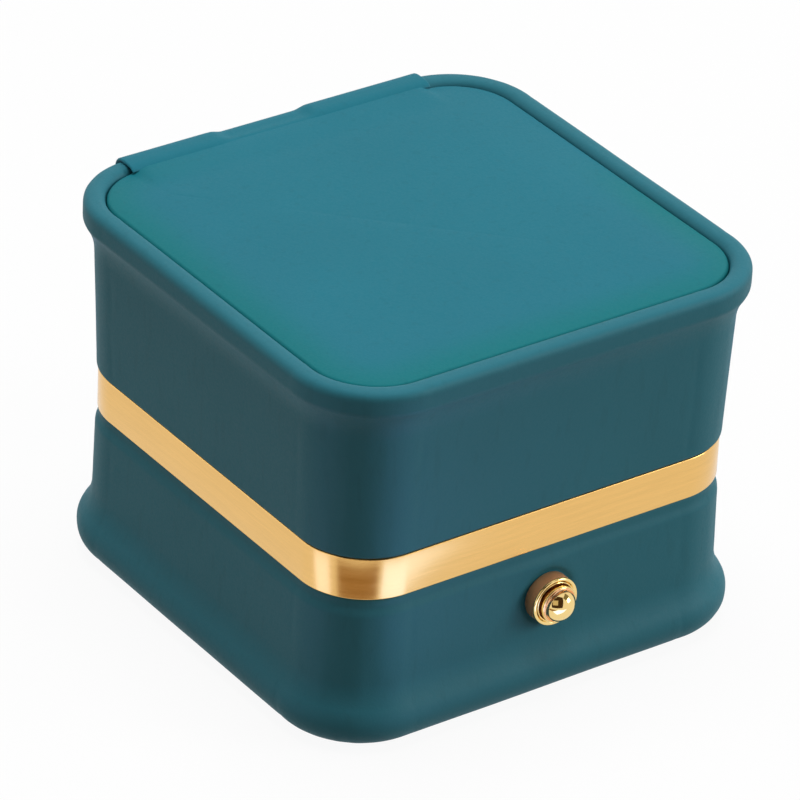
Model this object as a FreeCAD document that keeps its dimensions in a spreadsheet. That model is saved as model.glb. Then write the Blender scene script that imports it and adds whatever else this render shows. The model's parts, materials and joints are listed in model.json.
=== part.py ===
"""Ring box with a hinged lid, a metal waist band and a push-button latch.

The plan is a square with rounded corners.  X runs along the front, +Y points to the hinge side
and +Z is up.  The origin is the centre of the face that the box rests on.  Lengths are in
millimetres and angles in degrees.  Every wall follows one profile, which is carried along a side
and round a corner, then repeated four times about Z.
"""

import FreeCAD
import Part
import Sketcher
import math
import os

os.makedirs("parts", exist_ok=True)

DRIVING_SIZES = [
    ("band_half", 30.0, "half width of the box over its metal band"),
    ("band_corner", 9.0, "corner radius of the band in plan"),
    ("band_thick", 0.8, "band sheet"),
    ("band_bottom", 20.4, "lower edge of the band"),
    ("band_tall", 5.65, "height of the band"),
    ("band_bevel", 0.15, "bevel on the band's outer edges"),
    ("seam_gap", 0.2, "gap between band and lid"),
    ("total_tall", 49.9, "height of the closed box to its rim"),
    ("leather", 0.7, "covering leather"),
    ("glue", 0.05, "glue line between two faces that lie together"),
    ("shell_wall", 2.0, "moulded shell wall at the band"),
    ("floor_thick", 2.0, "shell floor"),
    ("roof_thick", 2.0, "lid shell top plate"),
    ("edge_round", 0.3, "rolled leather edge at the seams"),
    ("lid_reach", 0.2, "how far the lid's lower edge stands out from the band"),
    ("lid_lean", 2.1, "outward lean of the lid wall in degrees"),
    ("lid_flare", 8.0, "hollow radius below the rim bead"),
    ("rim_bead", 1.4, "radius of the rim bead"),
    ("rim_reach", 2.3, "how far the rim stands out from the band"),
    ("rim_side", 1.1, "upright part of the rim bead"),
    ("base_reach", 0.15, "how far the base's upper edge stands out from the band"),
    ("base_lean", 1.7, "outward lean of the base wall in degrees"),
    ("base_flare", 6.0, "hollow radius above the foot"),
    ("foot_bead", 3.5, "radius of the foot"),
    ("foot_reach", 2.3, "how far the foot stands out from the band"),
    ("shoulder_gap", 0.1, "gap between band and base leather"),
    ("turn_in", 2.2, "leather turned in under the foot"),
    ("groove", 0.2, "gap between the rim bead and the top panel"),
    ("shelf_drop", 3.5, "depth of the panel's seat below the rim"),
    ("panel_board", 1.0, "thickness of the top panel's board"),
    ("panel_pad", 2.6, "thickness of the top panel's pad"),
    ("panel_round", 1.5, "rounding of the pad's edge"),
    ("strap_half", 22.3, "half width of the hinge strap"),
    ("strap_thick", 0.6, "thickness of the hinge strap"),
    ("strap_end", 9.5, "height where the strap ends on the base"),
    ("strap_lap", 0.1, "gap between the strap's end and the top panel"),
    ("strap_hump", 2.0, "height of the strap's hump above and below the knuckles"),
    ("strap_ramp", 3.3, "height over which the hump fades out"),
    ("axis_out", 0.1, "how far the hinge axis lies outside the band"),
    ("axis_up", 0.1, "how far the hinge axis lies above the band"),
    ("knuckle", 0.9, "outer radius of the hinge knuckles"),
    ("pin_radius", 0.46, "radius of the hinge pin"),
    ("pin_fit", 0.04, "running clearance round the hinge pin"),
    ("leaf_half", 17.0, "half length of the hinge leaves"),
    ("leaf_thick", 0.5, "hinge leaf sheet"),
    ("leaf_tall", 5.0, "height of the lid's leaf plate"),
    ("knuckle_gap", 0.15, "end gap between neighbouring knuckles"),
    ("swing_gap", 0.2, "clearance round a knuckle for the other leaf"),
    ("rivet_radius", 0.5, "rivet shank"),
    ("rivet_head", 1.1, "rivet head radius"),
    ("rivet_rise", 0.3, "rivet head height"),
    ("rivet_pitch", 12.0, "distance between neighbouring rivets"),
    ("rivet_deep", 1.6, "length of the rivet shank in the shell"),
    ("hole_fit", 0.05, "clearance round a shank in its hole"),
    ("liner_wall", 0.6, "flocked tray wall"),
    ("latch_room", 4.15, "depth of the latch space between the front wall and the tray"),
    ("tray_corner", 4.0, "radius of the tray's front corners"),
    ("pad_gap", 0.3, "gap between a ring pad and the tray"),
    ("pad_sink", 5.3, "how far the ring pads lie below the tray's rim"),
    ("pad_round", 2.6, "rounding of the ring pads' top edges"),
    ("ring_slot", 1.4, "width of the slot that holds the ring"),
    ("slot_corner", 1.0, "corner radius of the pads at the slot"),
    ("lid_pad_thick", 3.6, "thickness of the pad inside the lid"),
    ("lid_pad_round", 1.5, "rounding of the lid pad's edge"),
    ("button_up", 13.5, "height of the button's centre"),
    ("bezel_radius", 3.25, "radius of the button's bezel"),
    ("bezel_deep", 2.0, "thickness of the bezel in front of the leather"),
    ("bezel_round", 0.4, "rounding of the bezel's front rim"),
    ("bezel_bore", 2.65, "bore of the bezel's cup"),
    ("bezel_floor", 0.55, "floor of the bezel's cup"),
    ("sleeve_radius", 2.6, "threaded sleeve behind the bezel"),
    ("nut_thick", 0.6, "thickness of the nut on the sleeve"),
    ("nut_radius", 3.6, "radius of the nut"),
    ("stem_radius", 1.1, "button stem"),
    ("stem_fit", 0.1, "running clearance round the stem"),
    ("collar_radius", 2.45, "radius of the button's collar"),
    ("collar_thick", 0.6, "thickness of the collar"),
    ("collar_round", 0.25, "rounding of the collar's front edge"),
    ("collar_proud", 0.65, "how far the collar stands out of the bezel"),
    ("dome_radius", 2.05, "radius of the button's dome"),
    ("dome_rise", 1.75, "height of the dome in front of the collar"),
    ("clip_radius", 2.1, "radius of the clip that holds the stem"),
    ("clip_thick", 0.4, "thickness of the clip"),
    ("clip_gap", 0.05, "gap between the clip and the sleeve's end"),
    ("clip_set", 0.45, "distance of the clip's back from the stem's end"),
    ("touch_gap", 0.1, "gap between the stem and the catch spring"),
    ("spring_thick", 0.4, "catch spring sheet"),
    ("spring_half", 2.6, "half width of the catch spring"),
    ("spring_foot", 4.5, "lower end of the catch spring"),
    ("foot_tall", 3.5, "height of the spring's foot plate"),
    ("spring_jog", 2.2, "height of the bend between foot and leaf"),
    ("catch_up", 19.8, "height of the underside of the catch nose"),
    ("catch_fit", 0.6, "clearance of the catch nose above and below in its window"),
    ("nose_past", 0.1, "how far the nose stands out of the tongue"),
    ("tongue_half", 4.0, "half width of the strike tongue"),
    ("tongue_thick", 0.5, "strike tongue sheet"),
    ("tongue_gap", 0.5, "gap between the tongue and the catch spring"),
    ("tongue_bar", 1.2, "bar below the window in the tongue"),
    ("tongue_margin", 3.0, "how far the strike plate reaches above its screws"),
    ("window_side", 0.3, "clearance beside the catch nose in its window"),
    ("swing_room", 0.45, "clearance beside the tongue where it passes the tray's flange"),
    ("screw_radius", 0.5, "screw shank"),
    ("screw_head", 0.95, "screw head radius"),
    ("screw_rise", 0.45, "screw head height"),
    ("screw_deep", 1.4, "length of the screw shank in the shell"),
    ("spring_screw", 1.4, "distance of the catch screws from the middle"),
    ("strike_screw", 2.4, "distance of the strike screws from the middle"),
    ("strike_screw_rise", 4.1, "height of the strike screws above the lid's lower edge"),
]

doc = FreeCAD.newDocument("ring_box")


class Size:
    """A length that keeps its number together with the formula it comes from."""

    def __init__(self, number, formula):
        self.number = number
        self.formula = formula

    def __add__(self, other):
        return combine(self, "+", other)

    def __sub__(self, other):
        return combine(self, "-", other)

    def __mul__(self, other):
        return combine(self, "*", other)

    def __truediv__(self, other):
        return combine(self, "/", other)

    def __neg__(self):
        return Size(-self.number, f"(0 - {self.formula})")


def as_size(value):
    """Wrap a plain number so that it can take part in a formula."""
    return value if isinstance(value, Size) else Size(float(value), repr(float(value)))


def combine(left, sign, right):
    left, right = as_size(left), as_size(right)
    results = {
        "+": lambda: left.number + right.number,
        "-": lambda: left.number - right.number,
        "*": lambda: left.number * right.number,
        "/": lambda: left.number / right.number,
    }
    return Size(results[sign](), f"({left.formula} {sign} {right.formula})")


def tangent(angle):
    return Size(math.tan(math.radians(angle.number)), f"tan({angle.formula} * 1 deg)")


def write_sheet():
    """Put the driving sizes in a spreadsheet and return them by name."""
    sheet = doc.addObject("Spreadsheet::Sheet", "Sizes")
    sizes = {}
    for row, (alias, value, note) in enumerate(DRIVING_SIZES, start=1):
        sheet.set(f"A{row}", alias)
        sheet.set(f"B{row}", str(value))
        sheet.set(f"C{row}", note)
        sheet.setAlias(f"B{row}", alias)
        sizes[alias] = Size(value, f"Sizes.{alias}")
    return sizes


class Named:
    """Reads a driving size as an attribute, such as mm.leather."""

    def __init__(self, sizes):
        self.__dict__.update(sizes)


mm = Named(write_sheet())
doc.recompute()


# ---------------------------------------------------------------- places worked out from the sizes

ZERO = as_size(0)
CORNER_AXIS = mm.band_half - mm.band_corner
BAND_TOP = mm.band_bottom + mm.band_tall
LID_BOTTOM = BAND_TOP + mm.seam_gap
COLLAR_OUT = mm.band_half - mm.band_thick - mm.glue
SHELL_IN = COLLAR_OUT - mm.shell_wall
SHOULDER = mm.band_bottom - mm.shoulder_gap

FLANGE_THICK = mm.liner_wall
TRAY_TOP = BAND_TOP - mm.glue * 2
COLLAR_TOP = TRAY_TOP - FLANGE_THICK - mm.glue
FLANGE_OUT = COLLAR_OUT - mm.glue
FLOOR_BOTTOM = mm.leather + mm.glue
FLOOR_TOP = FLOOR_BOTTOM + mm.floor_thick
TRAY_BOTTOM = FLOOR_TOP + mm.glue
TRAY_OUT = SHELL_IN - mm.glue
TRAY_IN = TRAY_OUT - mm.liner_wall
TRAY_FRONT = mm.latch_room - SHELL_IN
PAD_BOTTOM = TRAY_BOTTOM + mm.liner_wall + mm.glue
PAD_TOP = TRAY_TOP - mm.pad_sink

LINER_EDGE = LID_BOTTOM + mm.glue
LID_CORE_BOTTOM = LINER_EDGE + FLANGE_THICK + mm.glue
LID_FLANGE_OUT = mm.band_half + mm.lid_reach - mm.leather - mm.glue * 2
SHELF = mm.total_tall - mm.shelf_drop
ROOF_BOTTOM = SHELF - mm.roof_thick
LINER_TOP = ROOF_BOTTOM - mm.glue
LID_PAD_TOP = LINER_TOP - mm.liner_wall - mm.glue
LID_PAD_BOTTOM = LID_PAD_TOP - mm.lid_pad_thick
LINER_IN = TRAY_IN
BEAD_IN = mm.band_half + mm.rim_reach - mm.rim_bead * 2
PANEL_HALF = BEAD_IN - mm.groove
BOARD_BOTTOM = SHELF + mm.glue
BOARD_TOP = BOARD_BOTTOM + mm.panel_board
PANEL_PAD_BOTTOM = BOARD_TOP + mm.glue
PANEL_TOP = PANEL_PAD_BOTTOM + mm.panel_pad

AXIS_Y = mm.band_half + mm.axis_out
AXIS_Z = BAND_TOP + mm.axis_up
LEAF_IN = AXIS_Y - mm.knuckle
LEAF_OUT = LEAF_IN + mm.leaf_thick
LID_LEAF_BOTTOM = AXIS_Z + mm.knuckle + mm.swing_gap
LID_LEAF_TOP = LID_LEAF_BOTTOM + mm.leaf_tall
BASE_LEAF_TOP = AXIS_Z - mm.knuckle - mm.swing_gap
BASE_LEAF_BOTTOM = mm.band_bottom + mm.glue
WINDOW_HALF = mm.leaf_half + mm.knuckle_gap
KNUCKLE_PITCH = mm.leaf_half * 2 / 5

SEAT_Y = -(mm.band_half + mm.base_reach)
SLEEVE_END = -(SHELL_IN - mm.glue - mm.nut_thick)
BEZEL_FRONT = SEAT_Y - mm.bezel_deep
CUP_FLOOR = SEAT_Y - mm.bezel_floor
COLLAR_FRONT = BEZEL_FRONT - mm.collar_proud
COLLAR_BACK = COLLAR_FRONT + mm.collar_thick

TONGUE_OUT = -(LINER_IN - mm.glue)
TONGUE_IN = TONGUE_OUT + mm.tongue_thick
SPRING_OUT = TONGUE_IN + mm.tongue_gap
SPRING_IN = SPRING_OUT + mm.spring_thick
STEM_END = SPRING_OUT - mm.touch_gap
FOOT_OUT = -(SHELL_IN - mm.glue)
FOOT_IN = FOOT_OUT + mm.spring_thick
FOOT_TOP = mm.spring_foot + mm.foot_tall
CATCH_TOP = mm.catch_up + mm.spring_thick
WINDOW_BOTTOM = mm.catch_up - mm.catch_fit
WINDOW_TOP = CATCH_TOP + mm.catch_fit
TONGUE_BOTTOM = WINDOW_BOTTOM - mm.tongue_bar
CATCH_SCREW_UP = mm.spring_foot + mm.foot_tall / 2
STRIKE_SCREW_UP = LID_BOTTOM + mm.strike_screw_rise
TONGUE_TOP = STRIKE_SCREW_UP + mm.tongue_margin


FLARE_SHARE = 0.42     # share of the flare's and bead's radii between the bead and the bend
HALF_TURN_SHARE = math.sqrt(0.5)


# ---------------------------------------------------------------- helpers

def origin_item(body, role):
    return next(item for item in body.Origin.OriginFeatures if item.Role == role)


def new_body(name):
    body = doc.addObject("PartDesign::Body", name)
    body.Label = name
    return body


class Outline:
    """A closed sketch outline, drawn segment by segment and then tied to the sizes."""

    def __init__(self, body, plane, offset=ZERO):
        self.sketch = body.newObject("Sketcher::SketchObject", f"{body.Name}_sketch")
        self.sketch.AttachmentSupport = (origin_item(body, plane), [""])
        self.sketch.MapMode = "FlatFace"
        self.sketch.AttachmentOffset = FreeCAD.Placement(
            FreeCAD.Vector(0, 0, offset.number), FreeCAD.Rotation())
        self.sketch.setExpression("AttachmentOffset.Base.z", offset.formula)
        self.chain = []

    def add(self, geometry, first, last, smooth):
        """Add a segment and join its first point to the last point of the one before it."""
        item = self.sketch.addGeometry(geometry, False)
        if self.chain:
            before, _, before_last = self.chain[-1]
            kind = "Tangent" if smooth else "Coincident"
            self.sketch.addConstraint(Sketcher.Constraint(kind, before, before_last, item, first))
        self.chain.append((item, first, last))
        return item

    def line(self, start, end, smooth=False):
        geometry = Part.LineSegment(FreeCAD.Vector(*start, 0), FreeCAD.Vector(*end, 0))
        return self.add(geometry, 1, 2, smooth)

    def arc(self, centre, radius, start, end, smooth=True):
        """An arc from the angle start to the angle end, in radians; end < start turns clockwise."""
        low, high = min(start, end), max(start, end)
        circle = Part.Circle(FreeCAD.Vector(*centre, 0), FreeCAD.Vector(0, 0, 1), radius)
        first, last = (1, 2) if end > start else (2, 1)
        return self.add(Part.ArcOfCircle(circle, low, high), first, last, smooth)

    def restart(self):
        """Begin another chain of segments and return the two free ends of the last one."""
        first_item, first_point, _ = self.chain[0]
        last_item, _, last_point = self.chain[-1]
        self.chain = []
        return (first_item, first_point), (last_item, last_point)

    def bridge(self, one, other):
        """Close the gap between two free ends with a straight line."""
        ends = [self.sketch.getPoint(*end) for end in (one, other)]
        item = self.sketch.addGeometry(Part.LineSegment(*ends), False)
        self.sketch.addConstraint(Sketcher.Constraint("Coincident", *one, item, 1))
        self.sketch.addConstraint(Sketcher.Constraint("Coincident", *other, item, 2))

    def close(self, smooth=False):
        first_item, first_point, _ = self.chain[0]
        last_item, _, last_point = self.chain[-1]
        kind = "Tangent" if smooth else "Coincident"
        self.sketch.addConstraint(
            Sketcher.Constraint(kind, last_item, last_point, first_item, first_point))

    def tie(self, kind, *where, size):
        """Add a driving dimension and bind it to its formula."""
        index = self.sketch.addConstraint(Sketcher.Constraint(kind, *where, size.number))
        self.sketch.setExpression(f"Constraints[{index}]", size.formula)

    def across(self, item, point, size):
        self.tie("DistanceX", -1, 1, item, point, size=size)

    def up(self, item, point, size):
        self.tie("DistanceY", -1, 1, item, point, size=size)

    def radius(self, item, size):
        self.tie("Radius", item, size=size)

    def straight(self, direction, *items):
        for item in items:
            self.sketch.addConstraint(Sketcher.Constraint(direction, item))


def polygon(outline, corners):
    """A closed outline of straight sides through corners, each a pair of sizes."""
    count = len(corners)
    for index in range(count):
        start, end = corners[index], corners[(index + 1) % count]
        outline.line([place.number for place in start], [place.number for place in end])
    outline.close()
    for index, (across, up) in enumerate(corners):
        item = outline.chain[index][0]
        outline.across(item, 1, across)
        outline.up(item, 1, up)


def rounded_rectangle(outline, left, right, front, back, front_radius, back_radius):
    """A rectangle in plan with its own corner radius at the front and at the back."""
    west, east = left.number, right.number
    south, north = front.number, back.number
    small, large = front_radius.number, back_radius.number
    turn = math.pi / 2
    bottom = outline.line((west + small, south), (east - small, south))
    first = outline.arc((east - small, south + small), small, -turn, 0)
    side = outline.line((east, south + small), (east, north - large), smooth=True)
    second = outline.arc((east - large, north - large), large, 0, turn)
    top = outline.line((east - large, north), (west + large, north), smooth=True)
    third = outline.arc((west + large, north - large), large, turn, turn * 2)
    other = outline.line((west, north - large), (west, south + small), smooth=True)
    fourth = outline.arc((west + small, south + small), small, turn * 2, turn * 3)
    outline.close(smooth=True)
    outline.straight("Horizontal", bottom)
    outline.across(other, 1, left)
    outline.across(side, 1, right)
    outline.up(bottom, 1, front)
    outline.up(top, 1, back)
    for item, radius in ((first, front_radius), (fourth, front_radius),
                         (second, back_radius), (third, back_radius)):
        outline.radius(item, radius)


def rounded_square(outline, half, radius):
    rounded_rectangle(outline, -half, half, -half, half, radius, radius)


def pad(body, outline, length, name, both_ways=False, backwards=False):
    feature = body.newObject("PartDesign::Pad", f"{body.Name}_{name}")
    feature.Profile = outline.sketch
    feature.Length = length.number
    feature.setExpression("Length", length.formula)
    feature.SideType = "Symmetric" if both_ways else "One side"
    feature.Reversed = backwards
    return feature


def pocket(body, outline, length, name, backwards=False):
    """Cut an outline into a body and make sure that it took something away."""
    doc.recompute()
    before = body.Shape.Volume
    feature = body.newObject("PartDesign::Pocket", f"{body.Name}_{name}")
    feature.Profile = outline.sketch
    feature.Length = length.number
    feature.setExpression("Length", length.formula)
    feature.Reversed = backwards
    doc.recompute()
    if body.Shape.Volume > before - 1e-4:
        raise RuntimeError(f"{body.Label}: {name} cuts nothing")
    return feature


def cut_block(body, name, left, right, front, back, bottom, top):
    """Cut an upright block out of a body."""
    outline = Outline(body, "XY_Plane", top)
    polygon(outline, [(left, front), (right, front), (right, back), (left, back)])
    return pocket(body, outline, top - bottom, name)


def cut_bores(body, name, centres, height, radius, front, back):
    """Cut round holes that run along Y from front to back at one height."""
    outline = Outline(body, "XZ_Plane", -front)
    for across in centres:
        centre = FreeCAD.Vector(across.number, height.number, 0)
        circle = Part.Circle(centre, FreeCAD.Vector(0, 0, 1), radius.number)
        item = outline.sketch.addGeometry(circle, False)
        outline.across(item, 3, across)
        outline.up(item, 3, height)
        outline.radius(item, radius)
    return pocket(body, outline, back - front, name)


def dress(body, kind, name, size, wanted):
    """Fillet or chamfer the edges of a body that a test picks out."""
    doc.recompute()
    shape = body.Shape
    names = [f"Edge{number}" for number, edge in enumerate(shape.Edges, start=1) if wanted(edge)]
    if not names:
        raise RuntimeError(f"{body.Label}: {name} finds no edge")
    before = body.Tip
    feature = body.newObject(f"PartDesign::{kind}", f"{body.Name}_{name}")
    feature.Base = (before, names)
    prop = "Radius" if kind == "Fillet" else "Size"
    setattr(feature, prop, size.number)
    feature.setExpression(prop, size.formula)
    return feature


def lies_at(edge, height):
    """Whether a whole edge lies at one height."""
    box = edge.BoundBox
    return abs(box.ZMin - height.number) < 1e-4 and abs(box.ZMax - height.number) < 1e-4


def reach(edge):
    """How far out of the middle the farthest point of an edge lies along X or Y."""
    box = edge.BoundBox
    return max(abs(box.XMin), abs(box.XMax), abs(box.YMin), abs(box.YMax))


def wall_round(body, outline):
    """Carry a wall profile along one side and one corner, then repeat it four times about Z."""
    corner = CORNER_AXIS.number
    axis = outline.sketch.addGeometry(
        Part.LineSegment(FreeCAD.Vector(corner, -1, 0), FreeCAD.Vector(corner, 1, 0)), True)
    outline.straight("Vertical", axis)
    outline.across(axis, 1, CORNER_AXIS)
    side = pad(body, outline, CORNER_AXIS * 2, "side", backwards=True)
    bend = body.newObject("PartDesign::Revolution", f"{body.Name}_bend")
    bend.Profile = outline.sketch
    bend.ReferenceAxis = (outline.sketch, ["Axis0"])
    bend.Angle = 90
    bend.Reversed = True
    doc.recompute()
    pattern = body.newObject("PartDesign::PolarPattern", f"{body.Name}_four_sides")
    pattern.Originals = [side, bend]
    pattern.Axis = (origin_item(body, "Z_Axis"), [""])
    pattern.Angle = 360
    pattern.Occurrences = 4
    body.Tip = pattern
    doc.recompute()


def section(body):
    """An outline in the plane where a side meets its corner."""
    return Outline(body, "YZ_Plane", CORNER_AXIS)


class WallForm:
    """Wall line, hollow flare and bead of the lid (side = 1) or of the base (side = -1)."""

    def __init__(self, side, edge_reach, edge_up, lean, flare, bead, bead_reach, bead_up):
        self.side = side
        self.edge_reach = edge_reach
        self.edge_up = edge_up
        self.lean = lean
        self.flare = flare
        self.bead = bead
        self.bead_across = mm.band_half + bead_reach - bead
        self.bead_up = bead_up

    def wall_across(self, inset, height):
        """Place of the wall line at a height, moved inwards by an inset."""
        rise = (height - self.edge_up) * self.side
        return mm.band_half + self.edge_reach - inset + tangent(self.lean) * rise

    def solve(self, inset, start_up):
        """First guess for the flare's centre and for the angles where its arcs begin and end."""
        slope = math.tan(math.radians(self.lean.number))
        stretch = math.hypot(1, slope)
        hollow = self.flare.number + inset.number
        round_off = self.bead.number - inset.number
        start_across = self.wall_across(inset, start_up).number
        bead_rise = (self.bead_up.number - start_up.number) * self.side
        base = start_across + hollow * stretch - self.bead_across.number
        quad = 1 + slope * slope
        linear = 2 * (base * slope - bead_rise)
        rest = base * base + bead_rise * bead_rise - (hollow + round_off) ** 2
        rise = (-linear - math.sqrt(linear * linear - 4 * quad * rest)) / (2 * quad)
        centre = (start_across + hollow * stretch + slope * rise,
                  start_up.number + self.side * rise)
        wall_angle = math.pi - math.atan(slope) * self.side
        bead_angle = math.atan2(self.bead_up.number - centre[1],
                                self.bead_across.number - centre[0]) % (2 * math.pi)
        return centre, hollow, round_off, wall_angle, bead_angle


def draw_wall(outline, form, inset, start_up, smooth_start=False):
    """Draw the wall line, flare and first bead arc outwards from the seam."""
    centre, hollow, round_off, wall_angle, bead_angle = form.solve(inset, start_up)
    start = (form.wall_across(inset, start_up).number, start_up.number)
    leave = (centre[0] + hollow * math.cos(wall_angle), centre[1] + hollow * math.sin(wall_angle))
    wall = outline.line(start, leave, smooth=smooth_start)
    flare = outline.arc(centre, hollow, wall_angle, bead_angle)
    bead_centre = (form.bead_across.number, form.bead_up.number)
    begin = bead_angle - math.pi
    end = 0.0 if form.side > 0 else -math.pi / 2
    begin = begin - 2 * math.pi if begin > math.pi else begin
    bead = outline.arc(bead_centre, round_off, begin, end)
    outline.across(wall, 1, form.wall_across(inset, start_up))
    outline.up(wall, 1, start_up)
    heading = (as_size(90) - form.lean) * form.side
    outline.tie("Angle", wall, size=Size(math.radians(heading.number), f"{heading.formula} * 1 deg"))
    outline.radius(flare, form.flare + inset)
    outline.across(bead, 3, form.bead_across)
    outline.up(bead, 3, form.bead_up)
    outline.radius(bead, form.bead - inset)
    return wall, flare, bead


def draw_flats(outline, form, inset, start_up):
    """The same wall moved inwards by an inset and moulded in flats, from the seam to the bead."""
    bend_up = form.bead_up - (form.flare + form.bead) * (FLARE_SHARE * form.side)
    wide = form.bead_across + form.bead - inset
    draw_flat_run(outline, [(form.wall_across(inset, start_up), start_up),
                            (form.wall_across(inset, bend_up), bend_up), (wide, form.bead_up)])
    return wide


def draw_flat_run(outline, corners):
    """Straight segments through corners; the last corner is tied by the segment that follows."""
    for start, end in zip(corners, corners[1:]):
        item = outline.line([place.number for place in start], [place.number for place in end])
        outline.across(item, 1, start[0])
        outline.up(item, 1, start[1])


def tie_last(outline, corner):
    item, _, last = outline.chain[-1]
    outline.across(item, last, corner[0])
    outline.up(item, last, corner[1])


def bridge_ends(outline, free_ends):
    """Join two chains at their starts and at their ends, which closes the outline."""
    for one, other in zip(*free_ends):
        outline.bridge(one, other)


def draw_foot_flats(outline, inset, start_up, end_across):
    """The base's flats, on round the foot in two flats and in along the underside."""
    form = BASE_FORM
    wide = draw_flats(outline, form, inset, start_up)
    radius = form.bead - inset
    corners = [(wide, form.bead_up),
               (form.bead_across + radius * HALF_TURN_SHARE, form.bead_up - radius * HALF_TURN_SHARE),
               (form.bead_across, form.bead_up - radius), (end_across, form.bead_up - radius)]
    draw_flat_run(outline, corners)
    return corners[-1]


def draw_rim_flats(outline, inset, start_up, end_up):
    """The lid's flats, up round the rim bead and down to the panel's seat."""
    form = LID_FORM
    wide = draw_flats(outline, form, inset, start_up)
    radius = form.bead - inset
    corners = [(wide, form.bead_up), (wide, RIM_UP), (form.bead_across, RIM_UP + radius),
               (form.bead_across - radius, RIM_UP), (form.bead_across - radius, end_up)]
    draw_flat_run(outline, corners)
    return corners[-1]


LID_FORM = WallForm(1, mm.lid_reach, LID_BOTTOM, mm.lid_lean, mm.lid_flare, mm.rim_bead,
                    mm.rim_reach, mm.total_tall - mm.rim_bead - mm.rim_side)
RIM_UP = mm.total_tall - mm.rim_bead
BASE_FORM = WallForm(-1, mm.base_reach, SHOULDER, mm.base_lean, mm.base_flare, mm.foot_bead,
                     mm.foot_reach, mm.foot_bead)


def draw_rim(outline, inset, start_up):
    """The lid's wall up to the widest line of its rim bead, and the bead's upper arc to come."""
    draw_wall(outline, LID_FORM, inset, start_up)
    across = (LID_FORM.bead_across + LID_FORM.bead - inset).number
    side = outline.line((across, LID_FORM.bead_up.number), (across, RIM_UP.number), smooth=True)
    return side


def draw_rim_top(outline, inset, end_angle):
    """The upper arc of the rim bead, from its widest line to an angle."""
    centre = (LID_FORM.bead_across.number, RIM_UP.number)
    arc = outline.arc(centre, (LID_FORM.bead - inset).number, 0.0, end_angle)
    outline.across(arc, 3, LID_FORM.bead_across)
    outline.up(arc, 3, RIM_UP)
    return arc


def block(name, left, right, front, back, bottom, top):
    """An upright block between six planes."""
    item = doc.addObject("Part::Box", name)
    for prop, size in (("Length", right - left), ("Width", back - front), ("Height", top - bottom),
                       ("Placement.Base.x", left), ("Placement.Base.y", front),
                       ("Placement.Base.z", bottom)):
        item.setExpression(prop, size.formula)
    return item


TURNS = {
    "x": FreeCAD.Rotation(FreeCAD.Vector(0, 1, 0), 90),
    "y": FreeCAD.Rotation(FreeCAD.Vector(1, 0, 0), -90),
}


def rod(name, axis, radius, start, length, across, up):
    """A cylinder along X or Y; across is its place on the other level axis."""
    item = doc.addObject("Part::Cylinder", name)
    item.Placement = FreeCAD.Placement(FreeCAD.Vector(), TURNS[axis])
    places = (start, across, up) if axis == "x" else (across, start, up)
    for prop, size in zip(("Placement.Base.x", "Placement.Base.y", "Placement.Base.z"), places):
        item.setExpression(prop, size.formula)
    item.setExpression("Radius", radius.formula)
    item.setExpression("Height", length.formula)
    return item


def join(name, items):
    fused = doc.addObject("Part::MultiFuse", name)
    fused.Shapes = items
    fused.Label = name
    return fused


def take(name, base, tools):
    """A piece with every tool cut out of it."""
    tool = tools[0] if len(tools) == 1 else join(f"{name}_tools", tools)
    cut = doc.addObject("Part::Cut", name)
    cut.Base = base
    cut.Tool = tool
    cut.Label = name
    return cut


def turned(name, corners, height, rounds=()):
    """A body turned about a level axis along Y at a height, from an outline of (radius, y)."""
    body = new_body(name)
    outline = Outline(body, "YZ_Plane")
    polygon(outline, [(along, height + radius) for radius, along in corners])
    axis = outline.sketch.addGeometry(
        Part.LineSegment(FreeCAD.Vector(-1, height.number, 0),
                         FreeCAD.Vector(1, height.number, 0)), True)
    outline.straight("Horizontal", axis)
    outline.up(axis, 1, height)
    turn = body.newObject("PartDesign::Revolution", f"{name}_turn")
    turn.Profile = outline.sketch
    turn.ReferenceAxis = (outline.sketch, ["Axis0"])
    turn.Angle = 360
    doc.recompute()
    for index, (along, radius, size) in enumerate(rounds):
        def on_rim(edge, along=along, radius=radius):
            box = edge.BoundBox
            return (abs(box.YMin - along.number) < 1e-4 and abs(box.YMax - along.number) < 1e-4
                    and abs(box.XMax - radius.number) < 1e-3)
        dress(body, "Fillet", f"round_{index}", size, on_rim)
    return body


# ---------------------------------------------------------------- base

def make_base_shell():
    """Moulded box with a collar that carries the band."""
    body = new_body("base_shell")
    outline = section(body)
    inset = mm.leather + mm.glue
    inner_foot = draw_foot_flats(outline, inset, SHOULDER, SHELL_IN)
    draw_flat_run(outline, [inner_foot, (SHELL_IN, COLLAR_TOP), (COLLAR_OUT, COLLAR_TOP),
                            (COLLAR_OUT, SHOULDER), (BASE_FORM.wall_across(inset, SHOULDER), SHOULDER)])
    outline.close()
    wall_round(body, outline)
    floor = Outline(body, "XY_Plane", FLOOR_BOTTOM)
    corner = mm.band_corner - (mm.band_half - SHELL_IN)
    rounded_square(floor, SHELL_IN + mm.glue, corner + mm.glue)
    pad(body, floor, mm.floor_thick, "floor")
    cut_bores(body, "button_hole", [ZERO], mm.button_up, mm.sleeve_radius + mm.hole_fit,
              SEAT_Y, -SHELL_IN + mm.liner_wall)
    cut_bores(body, "screw_holes", [-mm.spring_screw, mm.spring_screw], CATCH_SCREW_UP,
              mm.screw_radius + mm.hole_fit, -SHELL_IN - mm.screw_deep, -SHELL_IN + mm.liner_wall)
    cut_bores(body, "rivet_holes", [-mm.rivet_pitch, ZERO, mm.rivet_pitch], BASE_RIVET_UP,
              mm.rivet_radius + mm.hole_fit, COLLAR_OUT - mm.rivet_deep, COLLAR_OUT + mm.liner_wall)


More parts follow.
